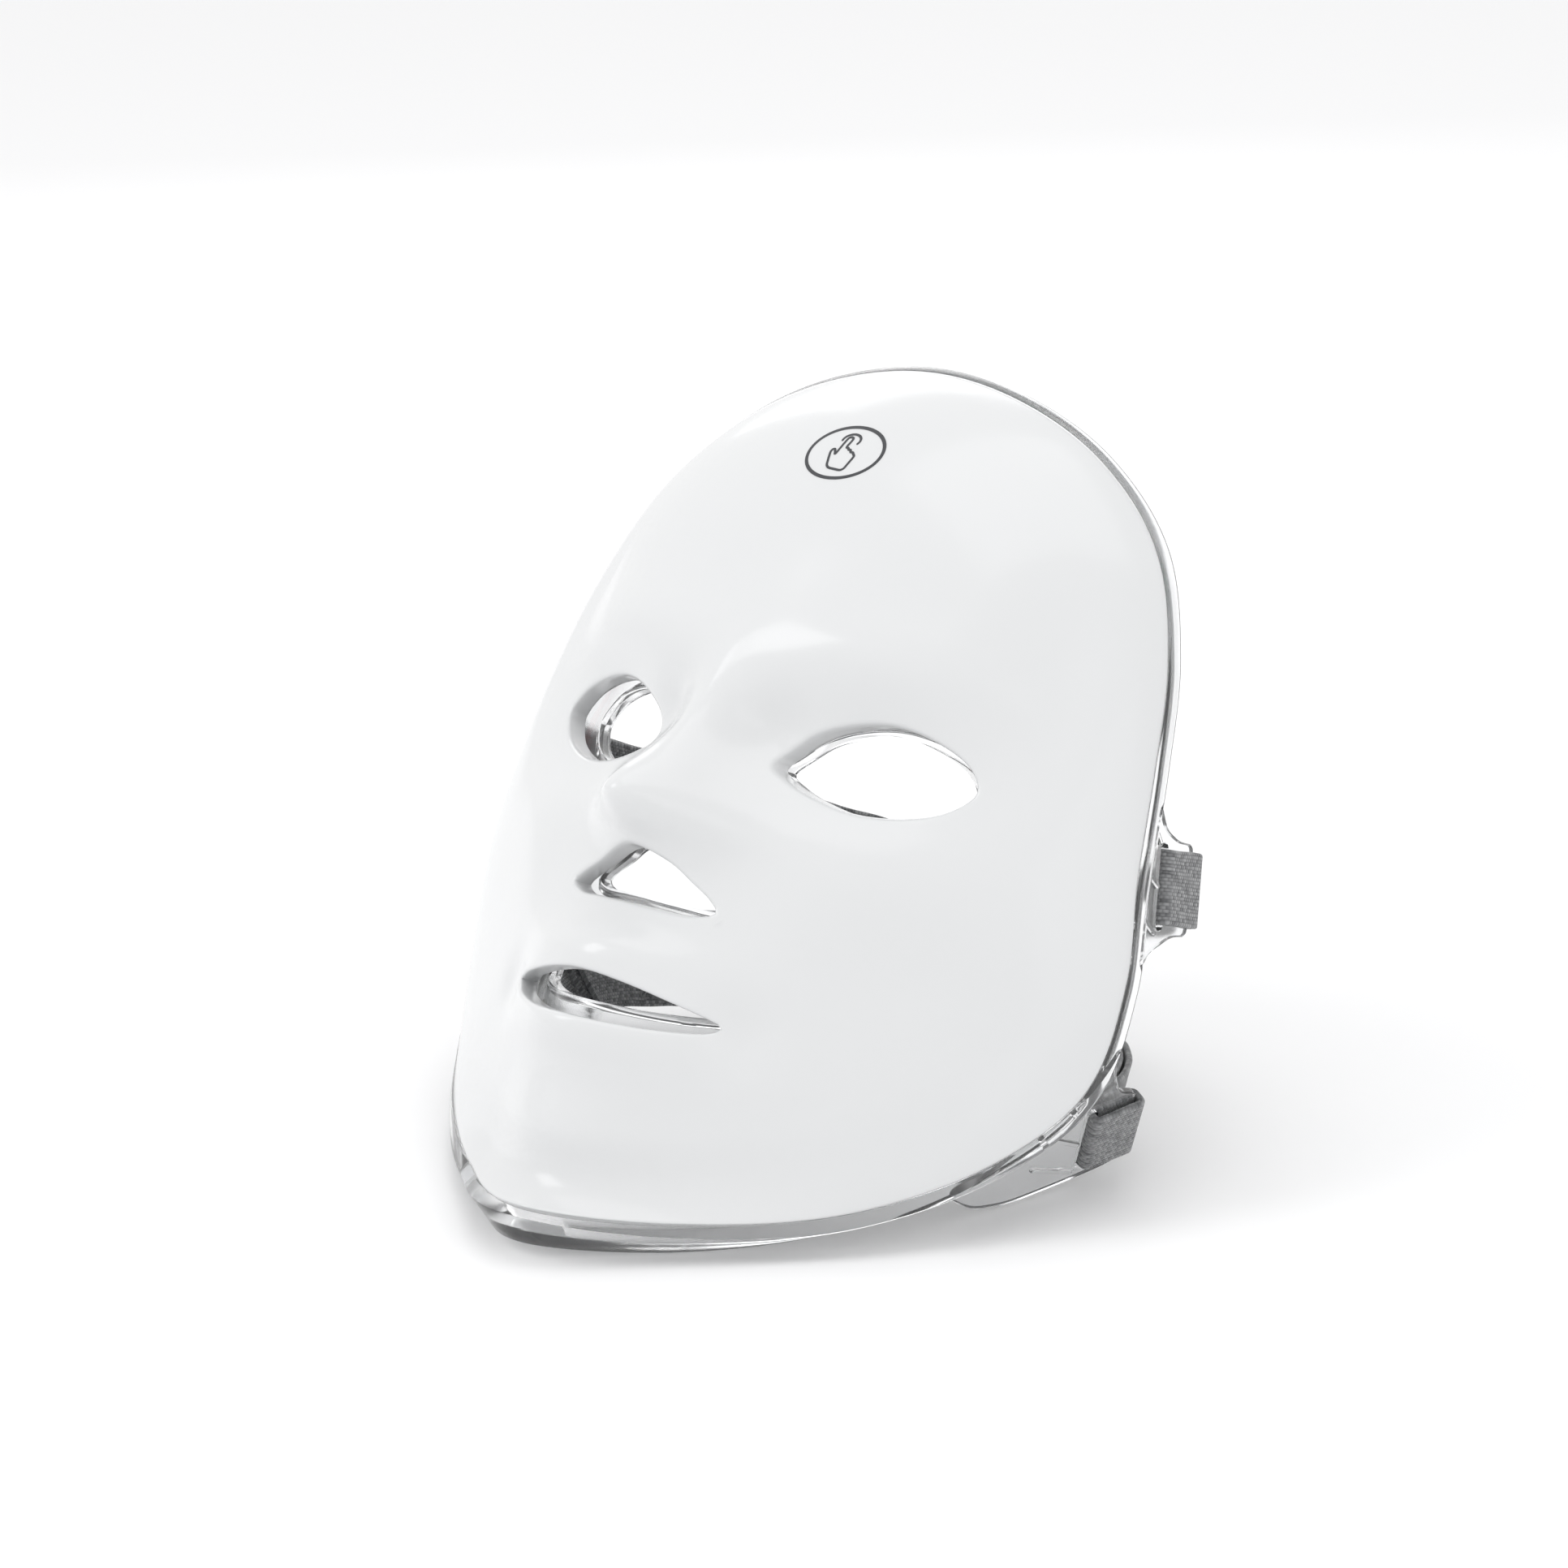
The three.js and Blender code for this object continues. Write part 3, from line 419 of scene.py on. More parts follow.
def faceDepth(x, z):
    angle = sideAngle(x, z - face["middleHeight"])
    trueReach = reachOf(x, z)
    reach = np.minimum(trueReach, 1)
    slant = np.sin(np.radians(angle))
    side, brow, chin = face["fullness"]
    fullness = side + np.maximum(slant, 0) ** 2 * (brow - side) + np.maximum(-slant, 0) ** 2 * (chin - side)
    last = math.sqrt(1 - face["wallSteepness"])
    share = (np.sqrt(1 - face["wallSteepness"] * reach ** fullness) - last) / (1 - last)
    dome = rimDepth(angle) * (1 - share) + face["crownDepth"] * share
    across = np.hypot(x, 1)
    noseWidth = 17 - 9.5 * ease(88, 120, z)
    rise = noseRise(z) * np.exp(-((across / noseWidth) ** 1.7))
    for lift, place, width, height, tall in face["swellings"]:
        rise = rise + lift * np.exp(-(((across - place) / width) ** 2) - ((z - height) / tall) ** 2)
    return dome - rise * (1 - ease(0.82, 1, reach))


def facePoint(x, z):
    x, z = np.broadcast_arrays(np.asarray(x, float), np.asarray(z, float))
    return np.stack([x, faceDepth(x, z), z], axis=-1)


def surfaceNormal(pointAt, x, z, step=0.4):
    right = pointAt(x + step, z) - pointAt(x - step, z)
    up = pointAt(x, z + step) - pointAt(x, z - step)
    return unit(np.cross(right, up))


def faceDirections(x, z):
    x, z = np.asarray(x, float), np.asarray(z, float)
    pull = np.minimum(1, 0.975 / np.maximum(reachOf(x, z), 1e-6))
    px, pz = x * pull, face["middleHeight"] + (z - face["middleHeight"]) * pull
    normal = surfaceNormal(facePoint, px, pz)
    radial = unit(np.stack([px, np.zeros_like(px), pz - face["middleHeight"]], axis=-1))
    rimward = unit(radial - normal * np.sum(radial * normal, axis=-1, keepdims=True))
    return normal, rimward


def innerPoint(x, z):
    x, z = np.broadcast_arrays(np.asarray(x, float), np.asarray(z, float))
    up = (z - face["middleHeight"]) * face["shrink"]
    smaller = np.stack([x * face["shrink"], faceDepth(x, z) + face["setback"], face["middleHeight"] + up], axis=-1)
    edge = ease(0.72, 1, reachOf(x, z))[..., None]
    normal, rimward = faceDirections(x, z)
    level = facePoint(x, z) - normal * face["rimSpacing"] + rimward * 1.6 * edge
    return smaller * (1 - edge) + level * edge


def betweenPoint(x, z, share):
    return facePoint(x, z) * (1 - share) + innerPoint(x, z) * share


def smoothOutline(outline, perSide):
    pts = np.array(outline, float)
    n = len(pts)
    out = []
    for i in range(n):
        p0, p1, p2, p3 = pts[i - 1], pts[i], pts[(i + 1) % n], pts[(i + 2) % n]
        d0, d1, d2 = [np.linalg.norm(b - a) ** 0.5 for a, b in ((p0, p1), (p1, p2), (p2, p3))]
        t1 = ((p1 - p0) / d0 - (p2 - p0) / (d0 + d1) + (p2 - p1) / d1) * d1
        t2 = ((p2 - p1) / d1 - (p3 - p1) / (d1 + d2) + (p3 - p2) / d2) * d1
        for t in np.arange(perSide) / perSide:
            out.append((2 * t**3 - 3 * t**2 + 1) * p1 + (t**3 - 2 * t**2 + t) * t1
                       + (3 * t**2 - 2 * t**3) * p2 + (t**3 - t**2) * t2)
    out = np.array(out)
    gaps = np.linalg.norm(np.roll(out, -1, 0) - out, axis=1)
    run = np.concatenate([[0], np.cumsum(gaps)])
    even = np.linspace(0, run[-1], int(run[-1] / 1.1) + 1)[:-1]
    loop = np.concatenate([out, out[:1]])
    return np.stack([np.interp(even, run, loop[:, k]) for k in (0, 1)], axis=1)


def grown(loop, by):
    along = unit(np.roll(loop, -1, 0) - np.roll(loop, 1, 0))
    return loop + np.stack([-along[:, 1], along[:, 0]], axis=1) * by


def insideLoop(points, loop):
    x, z = points[:, 0:1], points[:, 1:2]
    ax, az = loop[:, 0], loop[:, 1]
    bx, bz = np.roll(ax, -1), np.roll(az, -1)
    cuts = (az > z) != (bz > z)
    where = ax + (z - az) / np.where(bz == az, 1e-9, bz - az) * (bx - ax)
    return (np.sum(cuts & (x < where), axis=1) % 2) == 1


holeLoops = [smoothOutline(o, 12) for o in
             (eyeOutline, [(-x, z) for x, z in reversed(eyeOutline)], noseOutline, mouthOutline)]


# Making meshes and handing them over.
def newPiece(name, points, faces, material, uv=None, smooth=True, crease=None):
    mesh = bpy.data.meshes.new(name)
    mesh.from_pydata([tuple(p) for p in toRow(points)], [], [tuple(int(i) for i in f) for f in faces])
    mesh.materials.append(finishes[material])
    if uv is not None:
        layer = mesh.uv_layers.new(name="strapMap")
        corners = np.array([uv[loop.vertex_index] if isinstance(uv, np.ndarray) else (0, 0) for loop in mesh.loops])
        layer.data.foreach_set("uv", corners.astype(np.float32).ravel())
    piece = bpy.data.objects.new(name, mesh)
    bpy.context.scene.collection.objects.link(piece)
    if smooth:
        mesh.shade_smooth()
    if crease is not None:
        mesh.set_sharp_from_angle(angle=math.radians(crease))
    return piece


def settle(piece, body, slot, *nodes):
    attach(piece, body)
    if nodes:
        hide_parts(*nodes)
    return piece


def applied(piece):
    graph = bpy.context.evaluated_depsgraph_get()
    mesh = bpy.data.meshes.new_from_object(piece.evaluated_get(graph))
    piece.modifiers.clear()
    piece.data = mesh
    return piece


# The two shells.
shells = {
    "spacing": 1.5,       # between points over the face
    "frontWall": 2.0,
    "faceWall": 1.8,
    "edgeRound": 1.2,     # at the openings
    "rimRound": 0.7,
    "lipWall": 2.0,
    "frontLip": 0.93,     # how far towards the clear shell the front's lips reach
    "backLip": 4.5,
    "fitGap": 0.35,
    "flangeDepth": 4.0,
}


# One flat net of points over the face with a ring of points round each opening and the rim.
def faceNet(reach):
    turns = np.radians(np.linspace(-180, 180, 421)[:-1])
    rimR = rimRadius(sideAngle(np.cos(turns), np.sin(turns))) * reach
    rim = np.stack([np.cos(turns) * rimR, face["middleHeight"] + np.sin(turns) * rimR], axis=1)
    offsets = [0, 0.18, 0.45, 0.8, 1.2, 2.0, 3.0]
    points, edges, marks = [], [], {}

    def addRing(key, ring):
        first = sum(len(p) for p in points)
        points.append(ring)
        ids = np.arange(first, first + len(ring))
        edges.extend(zip(ids.tolist(), np.roll(ids, -1).tolist()))
        marks[key] = ids

    addRing("rim", rim)
    middle = np.array([0, face["middleHeight"]])
    for k, pull in enumerate((0.4, 1.0)):
        inward = rim + unit(middle - rim) * pull
        addRing(("inset", k), inward)
    for h, loop in enumerate(holeLoops):
        for offset in offsets:
            addRing((h, offset), grown(loop, offset))
    fixed = np.concatenate(points)
    s = shells["spacing"]
    rows = []
    for j, z in enumerate(np.arange(-6, 216, s * 0.866)):
        for x in np.arange(-110, 110, s) + (0.5 * s if j % 2 else 0):
            rows.append((x, z))
    grid = np.array(rows)
    grid = grid[reachOf(grid[:, 0], grid[:, 1]) < reach - 0.021]
    for loop in holeLoops:
        grid = grid[~insideLoop(grid, grown(loop, 3.0))]
    keep = np.ones(len(grid), bool)
    for start in range(0, len(fixed), 400):
        part = fixed[start:start + 400]
        near = np.min(np.hypot(grid[:, 0:1] - part[:, 0], grid[:, 1:2] - part[:, 1]), axis=1)
        keep &= near > 0.62 * s
    grid = grid[keep]
    allPoints = np.concatenate([fixed, grid])
    verts, _, tris, origin, _, _ = delaunay_2d_cdt([Vector(p) for p in allPoints], edges, [], 0, 1e-6)
    flat = np.array([tuple(v) for v in verts])
    back = {}
    for new, olds in enumerate(origin):
        for old in olds:
            back[old] = new
    tris = np.array([t for t in tris if len(t) == 3])
    centres = flat[tris].mean(axis=1)
    good = insideLoop(centres, rim)
    for loop in holeLoops:
        good &= ~insideLoop(centres, loop)
    tris = tris[good]
    a, b, c = (flat[tris[:, k]] for k in range(3))
    area = (b[:, 0] - a[:, 0]) * (c[:, 1] - a[:, 1]) - (b[:, 1] - a[:, 1]) * (c[:, 0] - a[:, 0])
    tris[area < 0] = tris[area < 0][:, ::-1]
    rings = {key: np.array([back[i] for i in ids]) for key, ids in marks.items()}
    used = np.unique(tris)
    renumber = np.full(len(flat), -1)
    renumber[used] = np.arange(len(used))
    return flat[used], renumber[tris], {key: renumber[ids] for key, ids in rings.items()}


class shellMaker:
    def __init__(self):
        self.points, self.faces, self.count = [], [], 0

    def add(self, points):
        first = self.count
        self.points.append(points)
        self.count += len(points)
        return np.arange(first, self.count)

    def join(self, ringA, ringB):   # quads between two closed rings
        for a, b, c, d in zip(ringA, np.roll(ringA, -1), np.roll(ringB, -1), ringB):
            self.faces.append((a, b, c, d))

    def cover(self, tris, offset, flip=False):
        for t in tris + offset:
            self.faces.append(tuple(t[::-1]) if flip else tuple(t))


def nearestGap(flat, loop):
    gap = np.full(len(flat), 1e9)
    for start in range(0, len(loop), 60):
        part = loop[start:start + 60]
        gap = np.minimum(gap, np.min(np.hypot(flat[:, 0:1] - part[:, 0], flat[:, 1:2] - part[:, 1]), axis=1))
    return gap


def edgeDrop(flat, radius):
    drop = np.zeros(len(flat))
    for loop in holeLoops:
        gap = np.minimum(nearestGap(flat, loop), radius)
        drop = np.maximum(drop, radius - np.sqrt(np.maximum(radius**2 - (radius - gap) ** 2, 0)))
    return drop


def frontShell():
    flat, tris, rings = faceNet(0.9999)
    x, z = flat[:, 0], flat[:, 1]
    normal, _ = faceDirections(x, z)
    outer = facePoint(x, z)
    outer[:, 1] += edgeDrop(flat, shells["edgeRound"])
    maker = shellMaker()
    top = maker.add(outer)
    maker.cover(tris, 0)
    inner = facePoint(x, z) - normal * shells["frontWall"]
    keepTri = np.ones(len(tris), bool)
    centres = flat[tris].mean(axis=1)
    for loop in holeLoops:
        keepTri &= ~insideLoop(centres, grown(loop, shells["lipWall"]))
    low = maker.add(inner)
    maker.cover(tris[keepTri], low[0], flip=True)
    # rim: a rounded edge from the outside to the inside
    ring = rings["rim"]
    n, r = faceDirections(x[ring], z[ring])
    chain = [top[ring]]
    wall, turn = shells["frontWall"], shells["rimRound"]
    for angle in (30, 60, 90):
        a = math.radians(angle)
        chain.append(maker.add(facePoint(x[ring], z[ring]) + r * turn * math.sin(a) - n * turn * (1 - math.cos(a))))
    chain.append(maker.add(facePoint(x[ring], z[ring]) + r * turn - n * (wall - 0.3)))
    chain.append(maker.add(facePoint(x[ring], z[ring]) + r * (turn - 0.3) - n * wall))
    chain.append(low[ring])
    for a, b in zip(chain, chain[1:]):
        maker.join(b, a)
    # lips: down the inside of each opening, round the end and back up outside
    for h in range(len(holeLoops)):
        edge, wide = rings[(h, 0)], rings[(h, 2.0)]
        depthEdge = betweenPoint(x[edge], z[edge], shells["frontLip"])[:, 1]
        depthWide = np.maximum(betweenPoint(x[wide], z[wide], shells["frontLip"])[:, 1], inner[wide, 1] + 0.6)
        chain = [top[edge]]
        start = outer[edge, 1]
        depthEdge = np.maximum(depthEdge, start + 1.0)
        for share in (0.25, 0.5, 0.75, 0.94):
            ringPoints = outer[edge].copy()
            ringPoints[:, 1] = start + (depthEdge - start) * share
            chain.append(maker.add(ringPoints))
        mid = (outer[edge] + facePoint(x[wide], z[wide])) / 2
        quarter = outer[edge] * 0.85 + facePoint(x[wide], z[wide]) * 0.15
        quarter[:, 1] = depthEdge - 0.05
        chain.append(maker.add(quarter))
        mid[:, 1] = (depthEdge + depthWide) / 2 + 0.1
        chain.append(maker.add(mid))
        last = facePoint(x[wide], z[wide])
        last[:, 1] = depthWide
        chain.append(maker.add(last))
        chain.append(low[wide])
        for a, b in zip(chain, chain[1:]):
            maker.join(b, a)
    return newPiece("frontShell", np.concatenate(maker.points), maker.faces, "glossWhite", crease=50)


print("surface ready")
front = frontShell()
settle(front, "mask", "gloss_white", "front_shell")
print("front shell", len(front.data.polygons), "faces")


# The clear shell: the wearer's side of the lamp space, its lips, and the flange that runs
# round outside the front shell's edge, all one moulding.
def clearShell():
    flat, tris, rings = faceNet(0.986)
    x, z = flat[:, 0], flat[:, 1]
    nearSide = innerPoint(x, z)
    normal = surfaceNormal(innerPoint, x * 0.997, face["middleHeight"] + (z - face["middleHeight"]) * 0.997)
    wearerSide = nearSide - normal * shells["faceWall"]
    maker = shellMaker()
    top = maker.add(nearSide)
    maker.cover(tris, 0)
    low = maker.add(wearerSide)
    wide = 2.0
    keepTri = np.ones(len(tris), bool)
    centres = flat[tris].mean(axis=1)
    for loop in holeLoops:
        keepTri &= ~insideLoop(centres, grown(loop, wide))
    maker.cover(tris[keepTri], low[0], flip=True)
    for h in range(len(holeLoops)):
        edge, far = rings[(h, 0)], rings[(h, wide)]
        depth = nearSide[edge, 1] + shells["backLip"]
        chain = [top[edge]]
        for share in (0.3, 0.65, 0.92):
            ringPoints = nearSide[edge].copy()
            ringPoints[:, 1] += shells["backLip"] * share
            chain.append(maker.add(ringPoints))
        for blendShare, extra in ((0.15, 0.0), (0.5, 0.15), (0.85, 0.0), (1.0, -0.35)):
            ringPoints = nearSide[edge] * (1 - blendShare) + nearSide[far] * blendShare
            ringPoints[:, 1] = depth * (1 - blendShare) + (nearSide[far, 1] + shells["backLip"]) * blendShare + extra
            ringPoints[:, 1] = np.maximum(ringPoints[:, 1], wearerSide[far, 1] + 0.3)
            chain.append(maker.add(ringPoints))
        chain.append(low[far])
        for a, b in zip(chain, chain[1:]):
            maker.join(b, a)
    # flange profile, as distances past the rim and out of the surface
    gap, deep = shells["fitGap"], shells["flangeDepth"]
    ring = rings["rim"]
    turns = np.arctan2(z[ring] - face["middleHeight"], x[ring])
    rimR = rimRadius(sideAngle(np.cos(turns), np.sin(turns))) * 0.9999
    rx, rz = np.cos(turns) * rimR, face["middleHeight"] + np.sin(turns) * rimR
    n, r = faceDirections(rx, rz)
    base = facePoint(rx, rz)
    profile = [(gap, -5.4), (gap, -2.5), (gap, -0.2), (gap + 0.15, 0.15), (gap + 0.5, 0.3), (deep - 0.8, 0.3),
               (deep - 0.25, 0.1), (deep, -0.5), (deep, -3), (deep, -5.5), (deep, -7.6), (deep - 0.3, -8.05),
               (deep - 0.9, -8.2), (gap + 1.0, -8.2)]
    chain = [top[ring]] + [maker.add(base + r * past + n * out) for past, out in profile] + [low[ring]]
    for a, b in zip(chain, chain[1:]):
        maker.join(b, a)
    return newPiece("clearShell", np.concatenate(maker.points), maker.faces, "clearPlastic", crease=50)


ears = {
    "thickness": 2.0,
    "barHalf": 5.6,
    "slotWidth": 3.0,
    "slotLength": 20.0,
    "edgeRound": 0.35,
    "upper": {
        "centre": (92.6, 13.5, 103.1), "slope": -0.13, "pull": 5.4,
        "outline": [(-11.3, 23.5), (-9.6, 19.1), (-6.3, 13), (-0.5, 10.6), (5.6, 10.4),
                    (5.6, -10.4), (-1.2, -10.9), (-8.9, -14.8), (-13.2, -19), (-15.8, -23)],
        "ribs": [(-12.4, 13, -9.6, 9.6), (-13.4, 2.2, -9.6, 0), (-14.2, -8, -9.6, -10.6)],
        "strapMiddle": (0, 84, 100), "strapLean": 0, "tabReach": 0.42, "tabGap": 0.35, "strapSetIn": 0.5,
    },
    "lower": {
        "centre": (83.9, 23.5, 47.2), "slope": 0.59, "pull": 35.6,
        "outline": [(-46, 0), (-37, -8.6), (-26.6, -11.9), (-13.4, -12.2), (-0.5, -12), (5.6, -10.6),
                    (5.6, 10.6), (-0.7, 13.5), (-3.5, 21), (-4.4, 30), (-6.5, 31.5), (-16.6, 18.2),
                    (-26.2, 8), (-38, 2.6)],
        "ribs": [(-16.2, 15.4, -10.2, 11.4), (-23.4, 10, -10.2, 1), (-22, -2, -10.2, -8)],
        "strapMiddle": (0, 80, 66), "strapLean": 12, "tabReach": 0.42, "tabGap": 0.7, "strapSetIn": 1.3,
    },
}


def earAxes(ear):
    level = np.array([0.0, 1, 0])
    upright = unit(np.array([ear["slope"], 0, 1.0]))
    turn = math.radians(ear["pull"])
    pull = level * math.cos(turn) + upright * math.sin(turn)
    edge = -level * math.sin(turn) + upright * math.cos(turn)
    out = unit(np.array([1.0, 0, -ear["slope"]]))
    return np.array(ear["centre"]), pull, edge, out


def earPoint(ear, e, w, n):
    centre, pull, edge, out = earAxes(ear)
    e, w, n = (np.asarray(v, float)[..., None] for v in (e, w, n))
    return centre + pull * e + edge * w + out * n


def roundedBar(e1, w1, e2, w2, half, steps=8):
    heading = math.atan2(w2 - w1, e2 - e1)
    turns = [heading + math.pi / 2 + math.pi * i / steps for i in range(steps + 1)]
    path = [(e1 + half * math.cos(t), w1 + half * math.sin(t)) for t in turns]
    return path + [(e2 - half * math.cos(t), w2 - half * math.sin(t)) for t in turns]


# Rounds an outline's corners by cutting them twice.
def softened(outline, times=2, share=0.18):
    pts = np.array(outline, float)
    for _ in range(times):
        ahead = np.roll(pts, -1, 0)
        pts = np.stack([pts * (1 - share) + ahead * share, pts * share + ahead * (1 - share)], axis=1).reshape(-1, 2)
    return pts


def plateMesh(ear, name, outline, low, high, rounding, flip):
    pts = np.array(outline, float)
    area = np.sum(pts[:, 0] * np.roll(pts[:, 1], -1) - np.roll(pts[:, 0], -1) * pts[:, 1])
    if area < 0:
        pts = pts[::-1]
    levels = [(low, rounding), (low + rounding, 0), (high - rounding, 0), (high, rounding)]
    count = len(pts)
    points, faces = [], []
    for level, inset in levels:
        ring = grown(pts, inset)
        points.append(earPoint(ear, ring[:, 0], ring[:, 1], np.full(count, level)))
    for k in range(3):
        for i in range(count):
            j = (i + 1) % count
            faces.append((k * count + i, k * count + j, (k + 1) * count + j, (k + 1) * count + i))
    faces.append(tuple(range(count))[::-1])
    faces.append(tuple(range(3 * count, 4 * count)))
    points = np.concatenate(points)
    if flip:
        points[:, 0] *= -1
        faces = [f[::-1] for f in faces]
    return newPiece(name, points, faces, "clearPlastic", smooth=False)


def cutOrJoin(piece, other, operation):
    step = piece.modifiers.new(operation, "BOOLEAN")
    step.operation = operation
    step.solver = "EXACT"
    step.object = other
    applied(piece)
    bpy.data.objects.remove(other)


def addEars(shell):
    half = ears["thickness"] / 2
    slotMiddle = -ears["barHalf"] - ears["slotWidth"] / 2
    reach = ears["slotLength"] / 2 - ears["slotWidth"] / 2
    for level in ("upper", "lower"):
        ear = ears[level]
        for flip in (False, True):
            plate = plateMesh(ear, "ear", softened(ear["outline"]), -half, half, ears["edgeRound"], flip)
            for rib in ear["ribs"]:
                bar = plateMesh(ear, "rib", roundedBar(*rib, 0.7), half - 0.4, half + 0.8, 0.3, flip)
                cutOrJoin(plate, bar, "UNION")
            slotOutline = roundedBar(slotMiddle, -reach, slotMiddle, reach, ears["slotWidth"] / 2)
            cutOrJoin(plate, plateMesh(ear, "slot", slotOutline, -3, 3, 0.0, flip), "DIFFERENCE")
            cutOrJoin(shell, plate, "UNION")


port = {
    "angle": -107.0,
    "width": 10.0,
    "rimward": (-6.0, 6.0),
    "outward": (-6.0, -2.3),
}


# The slit for the charging socket, cut square through the flange.
def cutPort(shell):
    turn = math.radians(port["angle"])
    radius = float(rimRadius(sideAngle(math.cos(turn), math.sin(turn))))
    x, z = np.array([math.cos(turn) * radius]), np.array([face["middleHeight"] + math.sin(turn) * radius])
    normal, rimward = (v[0] for v in faceDirections(x, z))
    along = unit(np.cross(rimward, normal))
    centre = facePoint(x, z)[0]
    half = port["width"] / 2
    corners = [centre + along * a + rimward * r + normal * n
               for n in port["outward"] for r in port["rimward"] for a in (-half, half)]
    faces = [(0, 2, 3, 1), (4, 5, 7, 6), (0, 1, 5, 4), (2, 6, 7, 3), (0, 4, 6, 2), (1, 3, 7, 5)]
    cutOrJoin(shell, newPiece("portBlock", corners, faces, "clearPlastic", smooth=False), "DIFFERENCE")


clear = clearShell()
addEars(clear)
cutPort(clear)
clear.data.shade_smooth()
clear.data.set_sharp_from_angle(angle=math.radians(35))
settle(clear, "mask", "clear_plastic", "face_shell")
print("clear shell", len(clear.data.polygons), "faces")


# The straps and their peel-off ends.
straps = {
    "loopGap": 0.3,        # between the fold and the ear's bar
    "width": 17.0,
    "thickness": 1.5,
    "edgeRound": 0.55,
    "stretchWave": 0.12,   # slight waviness of the edges
    "bandSteps": 150,
}


def webbing(name, middles, halves, facings, closed, material="elastic"):
    middles, halves, facings = (np.asarray(v, float) for v in (middles, halves, facings))
    width = np.linalg.norm(halves, axis=1)[:, None]
    side = unit(halves)
    t = straps["thickness"] / 2
    r = straps["edgeRound"]
    section = []
    for s in np.linspace(-1, 1, 15):
        section.append((s, 1, 0))
    for a in (30, 70, 110, 150):
        section.append((1, math.cos(math.radians(a)), math.sin(math.radians(a))))
    for s in np.linspace(1, -1, 15):
        section.append((s, -1, 0))
    for a in (30, 70, 110, 150):
        section.append((-1, -math.cos(math.radians(a)), math.sin(math.radians(a))))
    run = np.concatenate([[0], np.cumsum(np.linalg.norm(np.diff(middles, axis=0), axis=1))])
    wave = straps["stretchWave"] * np.sin(run / 2.3)[:, None]
    ring = []
    uv = []
    for s, level, bulge in section:
        reach = width - r + (r * bulge if bulge else 0) + wave
        at = middles + side * (s * reach) + facings * (t * level)
        ring.append(at)
        uv.append(np.stack([run, np.full(len(run), s * float(width[0, 0]) + level * 0.3)], axis=1))
    points = np.stack(ring, axis=1).reshape(-1, 3)
    maps = np.stack(uv, axis=1).reshape(-1, 2)
    n, m = len(middles), len(section)
    faces = []
    for i in range(n if closed else n - 1):
        j = (i + 1) % n
        for k in range(m):
            l = (k + 1) % m
            faces.append((i * m + k, j * m + k, j * m + l, i * m + l))
    if not closed:
        faces.append(tuple(range(m)))
        faces.append(tuple((n - 1) * m + k for k in reversed(range(m))))
    a, b, c, d = (points[faces[0][k]] for k in range(4))
    outwards = np.dot(np.cross(b - a, d - a), (a + b + c + d) / 4 - middles[0])
    if outwards < 0:
        faces = [f[::-1] for f in faces]
    piece = newPiece(name, points, faces, material, uv=maps, crease=60)
    return piece


def loopPath(ear):
    _, pull, edge, out = earAxes(ear)
    clearance = straps["loopGap"] + straps["thickness"] / 2
    high = ears["thickness"] / 2 + clearance
    half = edge * straps["width"] / 2
    rows = []
    for e, n, start in ((1, 1, 0), (-1, 1, 90), (-1, -1, 180), (1, -1, 270)):
        for i in range(9):
            turn = math.radians(start + i * 11.25)
            facing = pull * math.cos(turn) + out * math.sin(turn)
            at = earPoint(ear, e * (ears["barHalf"] - 0.1), 0, n * (high - clearance)) + facing * clearance
            rows.append((at, facing))
        if i == 8:
            nextE, nextN = {(1, 1): (-1, 1), (-1, 1): (-1, -1), (-1, -1): (1, -1), (1, -1): (1, 1)}[(e, n)]
            end = earPoint(ear, nextE * (ears["barHalf"] - 0.1), 0, nextN * (high - clearance)) + facing * clearance
            for s in (0.2, 0.4, 0.6, 0.8):
                if np.linalg.norm(end - at) > 2:
                    rows.append((at * (1 - s) + end * s, facing))
    return [r[0] for r in rows], [half for _ in rows], [r[1] for r in rows]


def strapPath(ear, steps, offset, start, stop):
    edge = earAxes(ear)[2]
    t = straps["thickness"]
    depth = -(ears["thickness"] / 2 + straps["loopGap"] + t + ear["strapSetIn"] + t / 2)
    p0, p1 = earPoint(ear, -1, 0, depth), earPoint(ear, 16, 0, depth - 1)
    p3 = np.array(ear["strapMiddle"], float)
    p2 = np.array([48, p3[1], p3[2]])
    tilt = math.radians(ear["strapLean"])
    level = np.array([0, -math.sin(tilt), math.cos(tilt)])
    middles, halves, facings = [], [], []
    for s in np.linspace(start, stop, steps + 1):
        at = (1 - s)**3 * p0 + 3 * (1 - s)**2 * s * p1 + 3 * (1 - s) * s * s * p2 + s**3 * p3
        along = unit(3 * (1 - s)**2 * (p1 - p0) + 6 * (1 - s) * s * (p2 - p1) + 3 * s * s * (p3 - p2))
        share = float(ease(0, 1, s))
        width = edge * (1 - share) + level * share
        width = unit(width - along * np.dot(width, along))
        facing = unit(np.cross(along, width))
        middles.append(at + facing * offset)
        halves.append(width * straps["width"] / 2)
        facings.append(facing)
    return middles, halves, facings


def flipped(rows):
    return [r * np.array([-1, 1, 1]) for r in rows]


